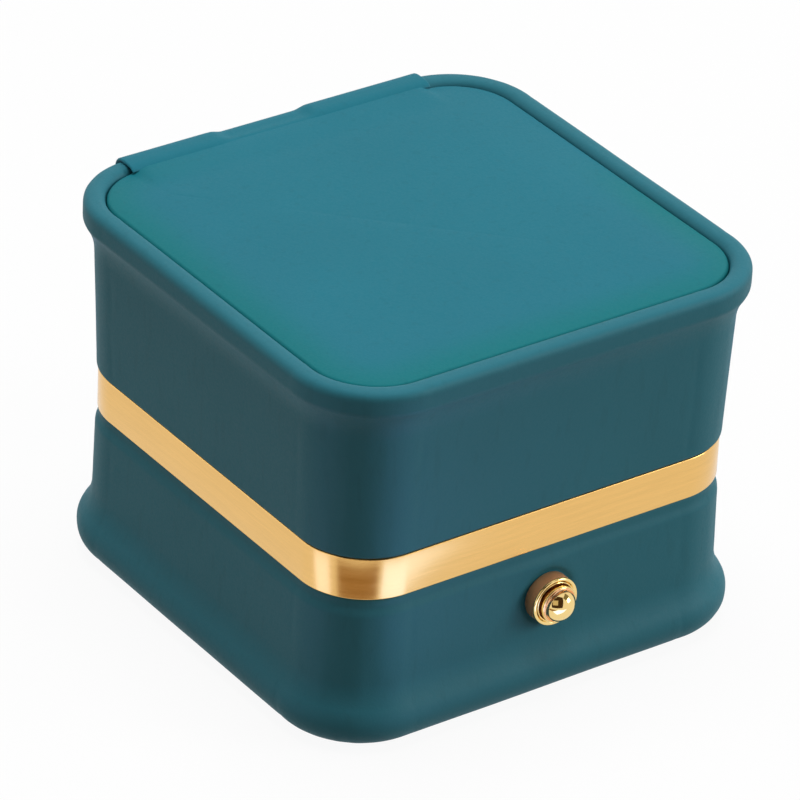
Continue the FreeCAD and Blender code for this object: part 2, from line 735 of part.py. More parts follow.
def make_base_cover():
    """Leather wrapped round the base wall and turned in under the foot."""
    body = new_body("base_cover")
    outline = section(body)
    board_edge = BASE_FORM.bead_across - mm.turn_in
    draw_wall(outline, BASE_FORM, ZERO, SHOULDER)
    under = outline.line((BASE_FORM.bead_across.number, ZERO.number),
                         (board_edge.number, ZERO.number), smooth=True)
    outline.across(under, 2, board_edge)
    free_ends = [outline.restart()]
    end = draw_foot_flats(outline, mm.leather, SHOULDER, board_edge)
    tie_last(outline, end)
    free_ends.append(outline.restart())
    bridge_ends(outline, free_ends)
    wall_round(body, outline)
    edge_out = (BASE_FORM.wall_across(ZERO, SHOULDER) - mm.leather / 2).number
    dress(body, "Fillet", "rolled_edge", mm.edge_round,
          lambda edge: lies_at(edge, SHOULDER) and reach(edge) > edge_out)
    cut_bores(body, "bezel_seat", [ZERO], mm.button_up, mm.bezel_radius + mm.hole_fit,
              SEAT_Y - mm.leather, SEAT_Y)
    cut_bores(body, "button_hole", [ZERO], mm.button_up, mm.sleeve_radius + mm.hole_fit,
              SEAT_Y - mm.leather, -COLLAR_OUT)


def make_gold_band():
    """Metal strip round the collar; its two ends stop beside the hinge."""
    body = new_body("gold_band")
    outline = section(body)
    inner = mm.band_half - mm.band_thick
    polygon(outline, [(inner, mm.band_bottom), (mm.band_half, mm.band_bottom),
                      (mm.band_half, BAND_TOP), (inner, BAND_TOP)])
    wall_round(body, outline)
    middle = (mm.band_half - mm.band_thick / 2).number
    dress(body, "Chamfer", "bevel", mm.band_bevel,
          lambda edge: (lies_at(edge, BAND_TOP) or lies_at(edge, mm.band_bottom))
          and reach(edge) > middle)
    cut_block(body, "hinge_gap", -WINDOW_HALF, WINDOW_HALF, inner - mm.glue,
              mm.band_half + mm.glue, mm.band_bottom - mm.glue, BAND_TOP + mm.glue)


def make_bottom_board():
    """Covered board that closes the underside and stands on the table."""
    body = new_body("bottom_board")
    outline = Outline(body, "XY_Plane")
    half = BASE_FORM.bead_across - mm.turn_in - mm.glue * 2
    rounded_square(outline, half, mm.band_corner - (mm.band_half - half))
    pad(body, outline, mm.leather, "board")


def make_base_liner():
    """Flocked tray; its flange covers the shell's edge and the latch space at the front."""
    body = new_body("base_liner")
    back_corner = mm.band_corner - (mm.band_half - TRAY_OUT)
    flange_corner = mm.band_corner - (mm.band_half - FLANGE_OUT)
    tray = Outline(body, "XY_Plane", TRAY_BOTTOM)
    rounded_rectangle(tray, -TRAY_OUT, TRAY_OUT, TRAY_FRONT, TRAY_OUT,
                      mm.tray_corner, back_corner)
    pad(body, tray, TRAY_TOP - TRAY_BOTTOM, "tray")
    flange = Outline(body, "XY_Plane", TRAY_TOP - FLANGE_THICK)
    rounded_square(flange, FLANGE_OUT, flange_corner)
    pad(body, flange, FLANGE_THICK, "flange")
    well = Outline(body, "XY_Plane", TRAY_TOP)
    rounded_rectangle(well, -TRAY_IN, TRAY_IN, TRAY_FRONT + mm.liner_wall, TRAY_IN,
                      mm.tray_corner - mm.liner_wall, back_corner - mm.liner_wall)
    pocket(body, well, TRAY_TOP - TRAY_BOTTOM - mm.liner_wall, "well")
    side = mm.tongue_half + mm.swing_room
    cut_block(body, "tongue_slot", -side, side, TONGUE_OUT - mm.swing_room * 2,
              TONGUE_IN + mm.swing_room, TRAY_TOP - FLANGE_THICK - mm.glue, TRAY_TOP + mm.glue)


def make_ring_pad(name, front, back, front_radius, back_radius):
    """Half of the padded cushion; a ring stands in the slot between the two halves."""
    body = new_body(name)
    outline = Outline(body, "XY_Plane", PAD_BOTTOM)
    half = TRAY_IN - mm.pad_gap
    rounded_rectangle(outline, -half, half, front, back, front_radius, back_radius)
    pad(body, outline, PAD_TOP - PAD_BOTTOM, "block")
    dress(body, "Fillet", "soft_edge", mm.pad_round, lambda edge: lies_at(edge, PAD_TOP))


def make_ring_pads():
    front = TRAY_FRONT + mm.liner_wall + mm.pad_gap
    back = TRAY_IN - mm.pad_gap
    middle = (front + back) / 2
    front_corner = mm.tray_corner - mm.liner_wall - mm.pad_gap
    back_corner = mm.band_corner - (mm.band_half - TRAY_IN) - mm.pad_gap
    make_ring_pad("ring_pad_front", front, middle - mm.ring_slot / 2, front_corner, mm.slot_corner)
    make_ring_pad("ring_pad_rear", middle + mm.ring_slot / 2, back, mm.slot_corner, back_corner)


# ---------------------------------------------------------------- latch

def make_bezel():
    """Turned cup round the button, with a sleeve through the wall."""
    bore = mm.stem_radius + mm.stem_fit
    turned("button_bezel", [(mm.bezel_bore, BEZEL_FRONT), (mm.bezel_radius, BEZEL_FRONT),
                            (mm.bezel_radius, SEAT_Y), (mm.sleeve_radius, SEAT_Y),
                            (mm.sleeve_radius, SLEEVE_END), (bore, SLEEVE_END),
                            (bore, CUP_FLOOR), (mm.bezel_bore, CUP_FLOOR)],
           mm.button_up, [(BEZEL_FRONT, mm.bezel_radius, mm.bezel_round)])


def make_button():
    """Domed button with its collar and stem."""
    body = turned("push_button", [(ZERO, COLLAR_FRONT), (mm.collar_radius, COLLAR_FRONT),
                                  (mm.collar_radius, COLLAR_BACK), (mm.stem_radius, COLLAR_BACK),
                                  (mm.stem_radius, STEM_END), (ZERO, STEM_END)],
                  mm.button_up, [(COLLAR_FRONT, mm.collar_radius, mm.collar_round)])
    cap_radius = (mm.dome_radius * mm.dome_radius + mm.dome_rise * mm.dome_rise) / (mm.dome_rise * 2)
    centre = COLLAR_FRONT - mm.dome_rise + cap_radius
    outline = Outline(body, "YZ_Plane")
    height = mm.button_up.number
    spread = math.asin(mm.dome_radius.number / cap_radius.number)
    cap = outline.arc((centre.number, height), cap_radius.number, math.pi, math.pi - spread)
    rim = outline.line((COLLAR_FRONT.number, height + mm.dome_radius.number),
                       (COLLAR_BACK.number, height + mm.dome_radius.number))
    back = outline.line((COLLAR_BACK.number, height + mm.dome_radius.number),
                        (COLLAR_BACK.number, height))
    middle = outline.line((COLLAR_BACK.number, height),
                          ((COLLAR_FRONT - mm.dome_rise).number, height))
    outline.close()
    outline.across(cap, 3, centre)
    outline.up(cap, 3, mm.button_up)
    outline.radius(cap, cap_radius)
    outline.straight("Horizontal", rim, middle)
    outline.straight("Vertical", back)
    outline.up(rim, 1, mm.button_up + mm.dome_radius)
    outline.up(middle, 1, mm.button_up)
    outline.across(middle, 1, COLLAR_BACK)
    dome = body.newObject("PartDesign::Revolution", "push_button_dome")
    dome.Profile = outline.sketch
    axis = outline.sketch.addGeometry(
        Part.LineSegment(FreeCAD.Vector(-1, height, 0), FreeCAD.Vector(1, height, 0)), True)
    outline.straight("Horizontal", axis)
    outline.up(axis, 1, mm.button_up)
    dome.ReferenceAxis = (outline.sketch, ["Axis0"])
    dome.Angle = 360


def ring(name, outer, inner, front, back):
    """A flat ring round the button's axis."""
    length = back - front
    disc = rod(f"{name}_disc", "y", outer, front, length, ZERO, mm.button_up)
    hole = rod(f"{name}_hole", "y", inner, front - mm.glue, length + mm.glue * 2, ZERO, mm.button_up)
    take(name, disc, [hole])


def make_latch_rings():
    nut_front = SLEEVE_END - mm.nut_thick
    ring("button_nut", mm.nut_radius, mm.sleeve_radius + mm.hole_fit, nut_front, SLEEVE_END)
    clip_front = SLEEVE_END + mm.clip_gap
    ring("button_clip", mm.clip_radius, mm.stem_radius + mm.glue / 2, clip_front,
         clip_front + mm.clip_thick)


def make_catch_spring():
    """Bent leaf: foot plate, jog, leaf and the nose that holds the tongue."""
    body = new_body("catch_spring")
    outline = Outline(body, "YZ_Plane")
    nose = TONGUE_OUT - mm.nose_past
    jog_top = FOOT_TOP + mm.spring_jog
    bend = mm.spring_thick / 4
    polygon(outline, [(FOOT_OUT, mm.spring_foot), (FOOT_IN, mm.spring_foot),
                      (FOOT_IN, FOOT_TOP - bend), (SPRING_IN, jog_top - bend),
                      (SPRING_IN, CATCH_TOP), (nose, CATCH_TOP), (nose, mm.catch_up),
                      (SPRING_OUT, mm.catch_up), (SPRING_OUT, jog_top + bend),
                      (FOOT_OUT, FOOT_TOP + bend)])
    pad(body, outline, mm.spring_half * 2, "leaf", both_ways=True)
    cut_bores(body, "screw_holes", [-mm.spring_screw, mm.spring_screw], CATCH_SCREW_UP,
              mm.screw_radius + mm.hole_fit, FOOT_OUT - mm.glue, FOOT_IN + mm.glue)


def make_strike_plate():
    """Plate on the lid's front wall with a windowed tongue that dips into the base."""
    body = new_body("strike_plate")
    outline = Outline(body, "XY_Plane", TONGUE_BOTTOM)
    polygon(outline, [(-mm.tongue_half, TONGUE_OUT), (mm.tongue_half, TONGUE_OUT),
                      (mm.tongue_half, TONGUE_IN), (-mm.tongue_half, TONGUE_IN)])
    pad(body, outline, TONGUE_TOP - TONGUE_BOTTOM, "plate")
    side = mm.spring_half + mm.window_side
    cut_block(body, "window", -side, side, TONGUE_OUT - mm.glue, TONGUE_IN + mm.glue,
              WINDOW_BOTTOM, WINDOW_TOP)
    cut_bores(body, "screw_holes", [-mm.strike_screw, mm.strike_screw], STRIKE_SCREW_UP,
              mm.screw_radius + mm.hole_fit, TONGUE_OUT - mm.glue, TONGUE_IN + mm.glue)


def make_screws(name, centres, height, face, deep):
    """Pan-headed screws driven outwards from a face inside the box."""
    pieces = []
    for index, across in enumerate(centres):
        pieces.append(rod(f"{name}_head_{index}", "y", mm.screw_head, face + mm.glue,
                          mm.screw_rise, across, height))
        pieces.append(rod(f"{name}_shank_{index}", "y", mm.screw_radius, -SHELL_IN - deep,
                          face + mm.glue + mm.screw_rise / 2 + SHELL_IN + deep, across, height))
    join(name, pieces)


# ---------------------------------------------------------------- hinge

def make_leaf(name, bottom, top, knuckles, rivet_up):
    """A plate with its share of the knuckles; each knuckle is tangent to the plate."""
    plate = block(f"{name}_plate", -mm.leaf_half, mm.leaf_half, LEAF_IN, LEAF_OUT, bottom, top)
    solids = [plate]
    for index in knuckles:
        start = -mm.leaf_half + KNUCKLE_PITCH * index + (mm.knuckle_gap / 2 if index else ZERO)
        last = index == 4
        end = -mm.leaf_half + KNUCKLE_PITCH * (index + 1) - (ZERO if last else mm.knuckle_gap / 2)
        low, high = (AXIS_Z, bottom + mm.leaf_thick) if bottom.number > AXIS_Z.number else (
            top - mm.leaf_thick, AXIS_Z)
        solids.append(block(f"{name}_web_{index}", start, end, LEAF_IN, LEAF_OUT, low, high))
        solids.append(rod(f"{name}_knuckle_{index}", "x", mm.knuckle, start, end - start,
                          AXIS_Y, AXIS_Z))
    bore = rod(f"{name}_bore", "x", mm.pin_radius + mm.pin_fit, -WINDOW_HALF, WINDOW_HALF * 2,
               AXIS_Y, AXIS_Z)
    holes = [rod(f"{name}_hole_{index}", "y", mm.rivet_radius + mm.hole_fit, LEAF_IN - mm.glue,
                 mm.leaf_thick + mm.glue * 2, mm.rivet_pitch * (index - 1), rivet_up)
             for index in range(3)]
    take(name, join(f"{name}_solid", solids), [bore] + holes)


def make_rivets(name, height):
    pieces = []
    for index in range(3):
        across = mm.rivet_pitch * (index - 1)
        pieces.append(rod(f"{name}_head_{index}", "y", mm.rivet_head, LEAF_OUT + mm.glue,
                          mm.rivet_rise - mm.glue, across, height))
        start = COLLAR_OUT - mm.rivet_deep + mm.glue
        pieces.append(rod(f"{name}_shank_{index}", "y", mm.rivet_radius, start,
                          LEAF_OUT + mm.rivet_rise / 2 - start, across, height))
    join(name, pieces)


def make_pin():
    pin = rod("hinge_pin", "x", mm.pin_radius, -WINDOW_HALF, WINDOW_HALF * 2, AXIS_Y, AXIS_Z)
    pin.Label = "hinge_pin"


def make_strap():
    """One strip of leather from the top panel over the rim and the hinge to the base."""
    body = new_body("hinge_strap")
    outline = Outline(body, "YZ_Plane")
    free_ends = []
    for inset in (-mm.glue, -(mm.glue + mm.strap_thick)):
        hump = AXIS_Y + mm.knuckle + mm.glue * 2 - (inset + mm.glue)
        low, high = AXIS_Z - mm.strap_hump, AXIS_Z + mm.strap_hump
        foot, head = low - mm.strap_ramp, high + mm.strap_ramp
        places = [(BASE_FORM.wall_across(inset, mm.strap_end), mm.strap_end),
                  (BASE_FORM.wall_across(inset, foot), foot), (hump, low), (hump, high)]
        wall_start = (LID_FORM.wall_across(inset, head), head)
        for start, end in zip(places, places[1:] + [wall_start]):
            item = outline.line([place.number for place in start], [place.number for place in end])
            outline.across(item, 1, start[0])
            outline.up(item, 1, start[1])
        draw_rim(outline, inset, head)
        draw_rim_top(outline, inset, math.pi / 2)
        top_up = mm.total_tall - inset
        over = outline.line((LID_FORM.bead_across.number, top_up.number),
                            ((PANEL_HALF + mm.strap_lap).number, top_up.number), smooth=True)
        outline.across(over, 2, PANEL_HALF + mm.strap_lap)
        free_ends.append(outline.restart())
    bridge_ends(outline, free_ends)
    pad(body, outline, mm.strap_half * 2, "strip", both_ways=True)


# ---------------------------------------------------------------- lid

def make_lid_shell():
    """Moulded lid with a rim bead round the panel's seat."""
    body = new_body("lid_shell")
    outline = section(body)
    inset = mm.leather + mm.glue
    seat = draw_rim_flats(outline, inset, LID_CORE_BOTTOM, SHELF)
    draw_flat_run(outline, [seat, (SHELL_IN, SHELF), (SHELL_IN, LID_CORE_BOTTOM),
                            (LID_FORM.wall_across(inset, LID_CORE_BOTTOM), LID_CORE_BOTTOM)])
    outline.close()
    wall_round(body, outline)
    roof = Outline(body, "XY_Plane", ROOF_BOTTOM)
    corner = mm.band_corner - (mm.band_half - SHELL_IN)
    rounded_square(roof, SHELL_IN + mm.glue, corner + mm.glue)
    pad(body, roof, mm.roof_thick, "roof")
    cut_block(body, "leaf_seat", -WINDOW_HALF, WINDOW_HALF, LEAF_IN - mm.glue,
              AXIS_Y + mm.knuckle, LID_CORE_BOTTOM - mm.glue, LID_LEAF_TOP + mm.knuckle_gap)
    cut_bores(body, "rivet_holes", [-mm.rivet_pitch, ZERO, mm.rivet_pitch], LID_RIVET_UP,
              mm.rivet_radius + mm.hole_fit, COLLAR_OUT - mm.rivet_deep, COLLAR_OUT + mm.liner_wall)
    cut_bores(body, "screw_holes", [-mm.strike_screw, mm.strike_screw], STRIKE_SCREW_UP,
              mm.screw_radius + mm.hole_fit, -SHELL_IN - mm.screw_deep, -SHELL_IN + mm.liner_wall)


def make_lid_cover():
    """Leather wrapped up the lid wall, over the rim bead and down to the panel's seat."""
    body = new_body("lid_cover")
    outline = section(body)
    draw_rim(outline, ZERO, LID_BOTTOM)
    draw_rim_top(outline, ZERO, math.pi)
    drop = outline.line((BEAD_IN.number, RIM_UP.number), (BEAD_IN.number, BOARD_BOTTOM.number),
                        smooth=True)
    outline.up(drop, 2, BOARD_BOTTOM)
    free_ends = [outline.restart()]
    end = draw_rim_flats(outline, mm.leather, LID_BOTTOM, BOARD_BOTTOM)
    tie_last(outline, end)
    free_ends.append(outline.restart())
    bridge_ends(outline, free_ends)
    wall_round(body, outline)
    edge_out = (LID_FORM.wall_across(ZERO, LID_BOTTOM) - mm.leather / 2).number
    dress(body, "Fillet", "rolled_edge", mm.edge_round,
          lambda edge: lies_at(edge, LID_BOTTOM) and reach(edge) > edge_out)
    cut_block(body, "hinge_window", -WINDOW_HALF, WINDOW_HALF, SHELL_IN, AXIS_Y + mm.knuckle,
              LID_BOTTOM - mm.glue, LID_LEAF_TOP + mm.knuckle_gap)


def make_top_panel():
    """Board and pad set into the lid's top."""
    board = new_body("top_panel_board")
    outline = Outline(board, "XY_Plane", BOARD_BOTTOM)
    half = PANEL_HALF - mm.glue
    rounded_square(outline, half, mm.band_corner - (mm.band_half - half))
    pad(board, outline, mm.panel_board, "board")
    body = new_body("top_panel_pad")
    outline = Outline(body, "XY_Plane", PANEL_PAD_BOTTOM)
    rounded_square(outline, PANEL_HALF, mm.band_corner - (mm.band_half - PANEL_HALF))
    pad(body, outline, mm.panel_pad, "block")
    dress(body, "Fillet", "soft_edge", mm.panel_round, lambda edge: lies_at(edge, PANEL_TOP))


def make_lid_liner():
    """Flocked inner tray of the lid, open downwards."""
    body = new_body("lid_liner")
    corner = mm.band_corner - (mm.band_half - TRAY_OUT)
    tray = Outline(body, "XY_Plane", LINER_EDGE)
    rounded_square(tray, TRAY_OUT, corner)
    pad(body, tray, LINER_TOP - LINER_EDGE, "tray")
    flange = Outline(body, "XY_Plane", LINER_EDGE)
    rounded_square(flange, LID_FLANGE_OUT, mm.band_corner - (mm.band_half - LID_FLANGE_OUT))
    pad(body, flange, FLANGE_THICK, "flange")
    well = Outline(body, "XY_Plane", LINER_TOP - mm.liner_wall)
    rounded_square(well, LINER_IN, corner - mm.liner_wall)
    pocket(body, well, LINER_TOP - mm.liner_wall - LINER_EDGE, "well")
    cut_bores(body, "screw_holes", [-mm.strike_screw, mm.strike_screw], STRIKE_SCREW_UP,
              mm.screw_radius + mm.hole_fit, -SHELL_IN, -LINER_IN + mm.glue)
    cut_block(body, "leaf_notch", -WINDOW_HALF, WINDOW_HALF, LEAF_IN - mm.glue, AXIS_Y,
              LINER_EDGE - mm.glue, LID_CORE_BOTTOM)


def make_lid_pad():
    """Soft panel that faces the ring when the box is closed."""
    body = new_body("lid_pad")
    outline = Outline(body, "XY_Plane", LID_PAD_BOTTOM)
    half = LINER_IN - mm.pad_gap
    rounded_square(outline, half, mm.band_corner - (mm.band_half - half))
    pad(body, outline, mm.lid_pad_thick, "block")
    dress(body, "Fillet", "soft_edge", mm.lid_pad_round, lambda edge: lies_at(edge, LID_PAD_BOTTOM))


BASE_RIVET_UP = (BASE_LEAF_BOTTOM + BASE_LEAF_TOP) / 2
LID_RIVET_UP = (LID_LEAF_BOTTOM + LID_LEAF_TOP) / 2

make_base_shell()
make_base_cover()
make_gold_band()
make_bottom_board()
make_base_liner()
make_ring_pads()
make_bezel()
make_button()
make_latch_rings()
make_catch_spring()
make_strike_plate()
make_screws("catch_screws", [-mm.spring_screw, mm.spring_screw], CATCH_SCREW_UP, FOOT_IN,
            mm.screw_deep - mm.glue)
make_screws("strike_screws", [-mm.strike_screw, mm.strike_screw], STRIKE_SCREW_UP, TONGUE_IN,
            mm.screw_deep - mm.glue)
make_leaf("hinge_leaf_base", BASE_LEAF_BOTTOM, BASE_LEAF_TOP, [0, 2, 4], BASE_RIVET_UP)
make_leaf("hinge_leaf_lid", LID_LEAF_BOTTOM, LID_LEAF_TOP, [1, 3], LID_RIVET_UP)
make_rivets("hinge_rivets_base", BASE_RIVET_UP)
make_rivets("hinge_rivets_lid", LID_RIVET_UP)
make_pin()
make_strap()
make_lid_shell()
make_lid_cover()
make_top_panel()
make_lid_liner()
make_lid_pad()
doc.recompute()

NODES = [
    "base_shell", "base_cover", "gold_band", "bottom_board", "base_liner", "ring_pad_front",
    "ring_pad_rear", "button_bezel", "button_nut", "push_button", "button_clip", "catch_spring",
    "catch_screws", "strike_plate", "strike_screws", "hinge_leaf_base", "hinge_leaf_lid",
    "hinge_rivets_base", "hinge_rivets_lid", "hinge_pin", "hinge_strap", "lid_shell", "lid_cover",
    "top_panel_board", "top_panel_pad", "lid_liner", "lid_pad",
]

for item in doc.Objects:
    if {"Invalid", "Error"} & set(item.State):
        raise RuntimeError(f"{item.Label} failed: {item.State}")

for label in NODES:
    shape = doc.getObjectsByLabel(label)[0].Shape
    if shape.isNull() or not shape.isValid():
        raise RuntimeError(f"{label} has no valid shape")
    shape.exportStep(f"parts/{label}.step")
    box = shape.BoundBox
    print(f"{label:18s} {len(shape.Solids)} solid(s) {shape.Volume:9.2f} mm3  "
          f"x {box.XMin:.2f}..{box.XMax:.2f}  y {box.YMin:.2f}..{box.YMax:.2f}  "
          f"z {box.ZMin:.2f}..{box.ZMax:.2f}")
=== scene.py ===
"""Ring box with a hinged lid: leather, metal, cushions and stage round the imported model."""
import json
import math

import bmesh
import bpy
import numpy as np
from bpy.props import FloatProperty, FloatVectorProperty, PointerProperty
from mathutils import Matrix, Vector, noise

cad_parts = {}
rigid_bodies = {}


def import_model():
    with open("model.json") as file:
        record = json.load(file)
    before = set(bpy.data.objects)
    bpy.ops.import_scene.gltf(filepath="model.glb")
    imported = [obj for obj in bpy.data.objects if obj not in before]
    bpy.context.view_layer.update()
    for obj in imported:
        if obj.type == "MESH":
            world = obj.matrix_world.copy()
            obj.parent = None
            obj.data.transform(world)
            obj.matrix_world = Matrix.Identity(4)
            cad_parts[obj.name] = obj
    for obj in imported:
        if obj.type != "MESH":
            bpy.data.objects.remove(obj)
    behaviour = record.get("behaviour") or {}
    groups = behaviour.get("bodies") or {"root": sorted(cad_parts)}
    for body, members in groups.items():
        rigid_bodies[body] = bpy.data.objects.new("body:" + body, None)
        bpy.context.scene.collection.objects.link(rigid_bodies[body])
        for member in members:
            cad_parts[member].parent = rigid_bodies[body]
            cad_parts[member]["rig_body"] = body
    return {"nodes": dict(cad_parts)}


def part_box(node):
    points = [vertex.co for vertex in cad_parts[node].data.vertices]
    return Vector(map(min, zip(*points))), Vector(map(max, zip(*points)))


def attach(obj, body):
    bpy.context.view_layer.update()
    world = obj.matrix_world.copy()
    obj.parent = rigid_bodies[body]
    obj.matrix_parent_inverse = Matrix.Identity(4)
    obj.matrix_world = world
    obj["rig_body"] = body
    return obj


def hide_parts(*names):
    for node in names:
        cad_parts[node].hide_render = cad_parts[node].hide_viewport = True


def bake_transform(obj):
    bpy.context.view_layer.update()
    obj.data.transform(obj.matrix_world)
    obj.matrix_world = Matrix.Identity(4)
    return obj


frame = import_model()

bl_info = {
    "name": "Ring Box",
    "version": (1, 0, 0),
    "blender": (4, 5, 0),
    "location": "3D View > Sidebar > Ring Box",
    "description": "Leather covers, brushed band, cushions, strap and push button of a ring box",
    "category": "Add Mesh",
}

MM = 0.001
MICRON = 0.000001

for thing in list(bpy.data.objects):
    if "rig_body" not in thing and not thing.name.startswith("body:"):
        bpy.data.objects.remove(thing)
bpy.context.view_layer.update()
LID_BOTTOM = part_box("lid_cover")[0].z
RIM_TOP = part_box("lid_cover")[1].z
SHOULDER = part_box("base_cover")[1].z
BOARD_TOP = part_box("top_panel_board")[1].z
BUTTON_UP = (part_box("push_button")[0].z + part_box("push_button")[1].z) / 2
HINGE = (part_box("hinge_pin")[0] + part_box("hinge_pin")[1]) / 2
WINDOW_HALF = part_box("hinge_pin")[1].x
LEAF_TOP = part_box("hinge_leaf_lid")[1].z


# ------------------------------------------------------------------ sizes and colours

def length(label, description, default):
    return FloatProperty(name=label, description=description, default=default * MM,
                         unit="LENGTH", precision=5, min=0)


def angle(label, description, default):
    return FloatProperty(name=label, description=description, default=math.radians(default),
                         unit="ROTATION")


def colour(label, description, default):
    return FloatVectorProperty(name=label, description=description, default=default,
                               subtype="COLOR", size=3, min=0, max=1)


class RingBoxWalls(bpy.types.PropertyGroup):
    """Sizes of the leather walls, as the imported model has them"""
    band_half: length("Band half width", "Half the width over the metal band", 30)
    corner: length("Corner radius", "Radius of the band's corners", 9)
    leather: length("Leather thickness", "Thickness of the wrapped leather", 0.7)
    edge_round: length("Rolled edge", "Radius of the leather's turned edge", 0.35)
    lid_reach: length("Lid proud of band", "How far the lid's lower edge stands out", 0.2)
    lid_lean: angle("Lid lean", "Outward lean of the lid's wall", 2.1)
    lid_flare: length("Rim flare radius", "Hollow radius under the rim", 8.0)
    rim_bead: length("Rim radius", "Radius of the rolled rim", 1.4)
    rim_across: length("Rim centre", "Distance of the rim's centre from the middle plane", 30.9)
    rim_side: length("Rim side", "Straight height on the rim's outer side", 1.1)
    base_reach: length("Base proud of band", "How far the base's top edge stands out", 0.15)
    base_lean: angle("Base lean", "Outward lean of the base's wall", 1.7)
    base_flare: length("Foot flare radius", "Hollow radius above the foot", 6.0)
    foot_bead: length("Foot radius", "Radius of the rounded foot", 3.5)
    foot_across: length("Foot centre", "Distance of the foot's centre from the middle plane", 28.8)
    spacing: length("Mesh spacing", "Distance between the rings of a swept wall", 0.36)


class RingBoxColours(bpy.types.PropertyGroup):
    """Colours of the finishes"""
    cover: colour("Cover leather", "Teal of the wall leather", (0.024, 0.165, 0.213))
    leather: colour("Pad leather", "Teal of the top pad", (0.011, 0.164, 0.223))
    strap: colour("Strap leather", "Teal of the hinge strap", (0.011, 0.160, 0.217))
    band: colour("Band", "Brushed gold of the band", (0.80, 0.49, 0.165))
    button: colour("Button", "Polished gold of the button", (0.90, 0.66, 0.27))
    bezel: colour("Bezel", "Satin rose gold of the bezel's side", (1.0, 0.46, 0.205))
    # the dish ring is gold made redder: painted gold-in-gold reflection in its hollow
    dish: colour("Dish", "Rose gold of the ring round the dome", (0.92, 0.52, 0.28))
    plastic: colour("Shell", "Moulded shell under the leather", (0.012, 0.014, 0.016))
    board: colour("Board", "Paper-faced board", (0.075, 0.070, 0.065))
    velour: colour("Velour", "Pile of the ring cushions", (0.66, 0.60, 0.51))
    flock: colour("Flock", "Short flock of the linings", (0.58, 0.53, 0.45))
    steel: colour("Steel", "Plain plated steel", (0.42, 0.42, 0.43))


class RingBoxStage(bpy.types.PropertyGroup):
    """Light, floor and camera"""
    key_power: FloatProperty(name="Overhead lamp", description="Power of the overhead lamp",
                             default=11.2, min=0, subtype="POWER")
    right_power: FloatProperty(name="Right lamp", description="Power of the front right lamp",
                               default=6.8, min=0, subtype="POWER")
    left_power: FloatProperty(name="Left lamp", description="Power of the rear left lamp",
                              default=0.9, min=0, subtype="POWER")
    ambient: FloatProperty(name="Ambient", description="Strength of the even light around",
                           default=0.20, min=0)
    lens: FloatProperty(name="Lens", description="Focal length of the camera", default=268.3247,
                        subtype="DISTANCE_CAMERA")


# ------------------------------------------------------------------ node helpers

class Nodes:
    """Adds nodes to one tree; a socket's value may be a number, a colour or another socket."""

    def __init__(self, tree):
        self.tree = tree

    @staticmethod
    def find(sockets, name):
        named = [s for s in sockets if s.identifier == name]
        return (named or [s for s in sockets if s.name == name])[0]

    def add(self, kind, sockets=None, **settings):
        node = self.tree.nodes.new(kind)
        for name, value in settings.items():
            setattr(node, name, value)
        for name, value in (sockets or {}).items():
            socket = self.find(node.inputs, name)
            if isinstance(value, bpy.types.NodeSocket):
                self.tree.links.new(value, socket)
            else:
                socket.default_value = value
        return node

    def maths(self, operation, first, second):
        return self.add("ShaderNodeMath", {"Value": first, "Value_001": second},
                        operation=operation).outputs[0]

    def ranged(self, value, low, high, to_low, to_high):
        return self.add("ShaderNodeMapRange", {"Value": value, "From Min": low, "From Max": high,
                                               "To Min": to_low, "To Max": to_high}).outputs[0]

    def object_place(self, scale=(1, 1, 1)):
        place = self.add("ShaderNodeTexCoord").outputs["Object"]
        return self.add("ShaderNodeMapping", {"Vector": place, "Scale": scale}).outputs[0]

    def noise(self, place, scale, detail=2.0, roughness=0.5):
        return self.add("ShaderNodeTexNoise", {"Vector": place, "Scale": scale, "Detail": detail,
                                               "Roughness": roughness}).outputs[0]

    def blend_colour(self, factor, first, second):
        mix = self.add("ShaderNodeMix", {"Factor_Float": factor, "A_Color": first,
                                         "B_Color": second}, data_type="RGBA")
        return self.find(mix.outputs, "Result_Color")

    def toned(self, mask, base, low, high):
        """The base colour, from low times its light to high times over a mask."""
        return self.blend_colour(mask, shaded(base, low), shaded(base, high))

    def send(self, node, name, value):
        self.tree.links.new(value, self.find(node.inputs, name))

    def by_ray(self, unseen, seen):
        """A shader for rays that only carry light, and another for rays that show the
        background: straight, in a mirror or through glass."""
        rays = self.add("ShaderNodeLightPath").outputs
        shows = self.maths("MAXIMUM", rays["Is Camera Ray"],
                           self.maths("MAXIMUM", rays["Is Glossy Ray"],
                                      rays["Is Transmission Ray"]))
        return self.add("ShaderNodeMixShader", {"Fac": shows, "Shader": unseen.outputs[0],
                                                "Shader_001": seen.outputs[0]}).outputs[0]


def shader_group(name, inputs, outputs, fill):
    """A shader node group; fill(nodes, entry, leave) links what is inside."""
    tree = bpy.data.node_groups.new(name, "ShaderNodeTree")
    for label, default in inputs:
        socket = tree.interface.new_socket(label, in_out="INPUT", socket_type="NodeSocketFloat")
        socket.default_value = default
    for label in outputs:
        tree.interface.new_socket(label, in_out="OUTPUT", socket_type="NodeSocketFloat")
    nodes = Nodes(tree)
    entry = nodes.add("NodeGroupInput")
    leave = nodes.add("NodeGroupOutput")
    fill(nodes, entry, leave)
    return tree


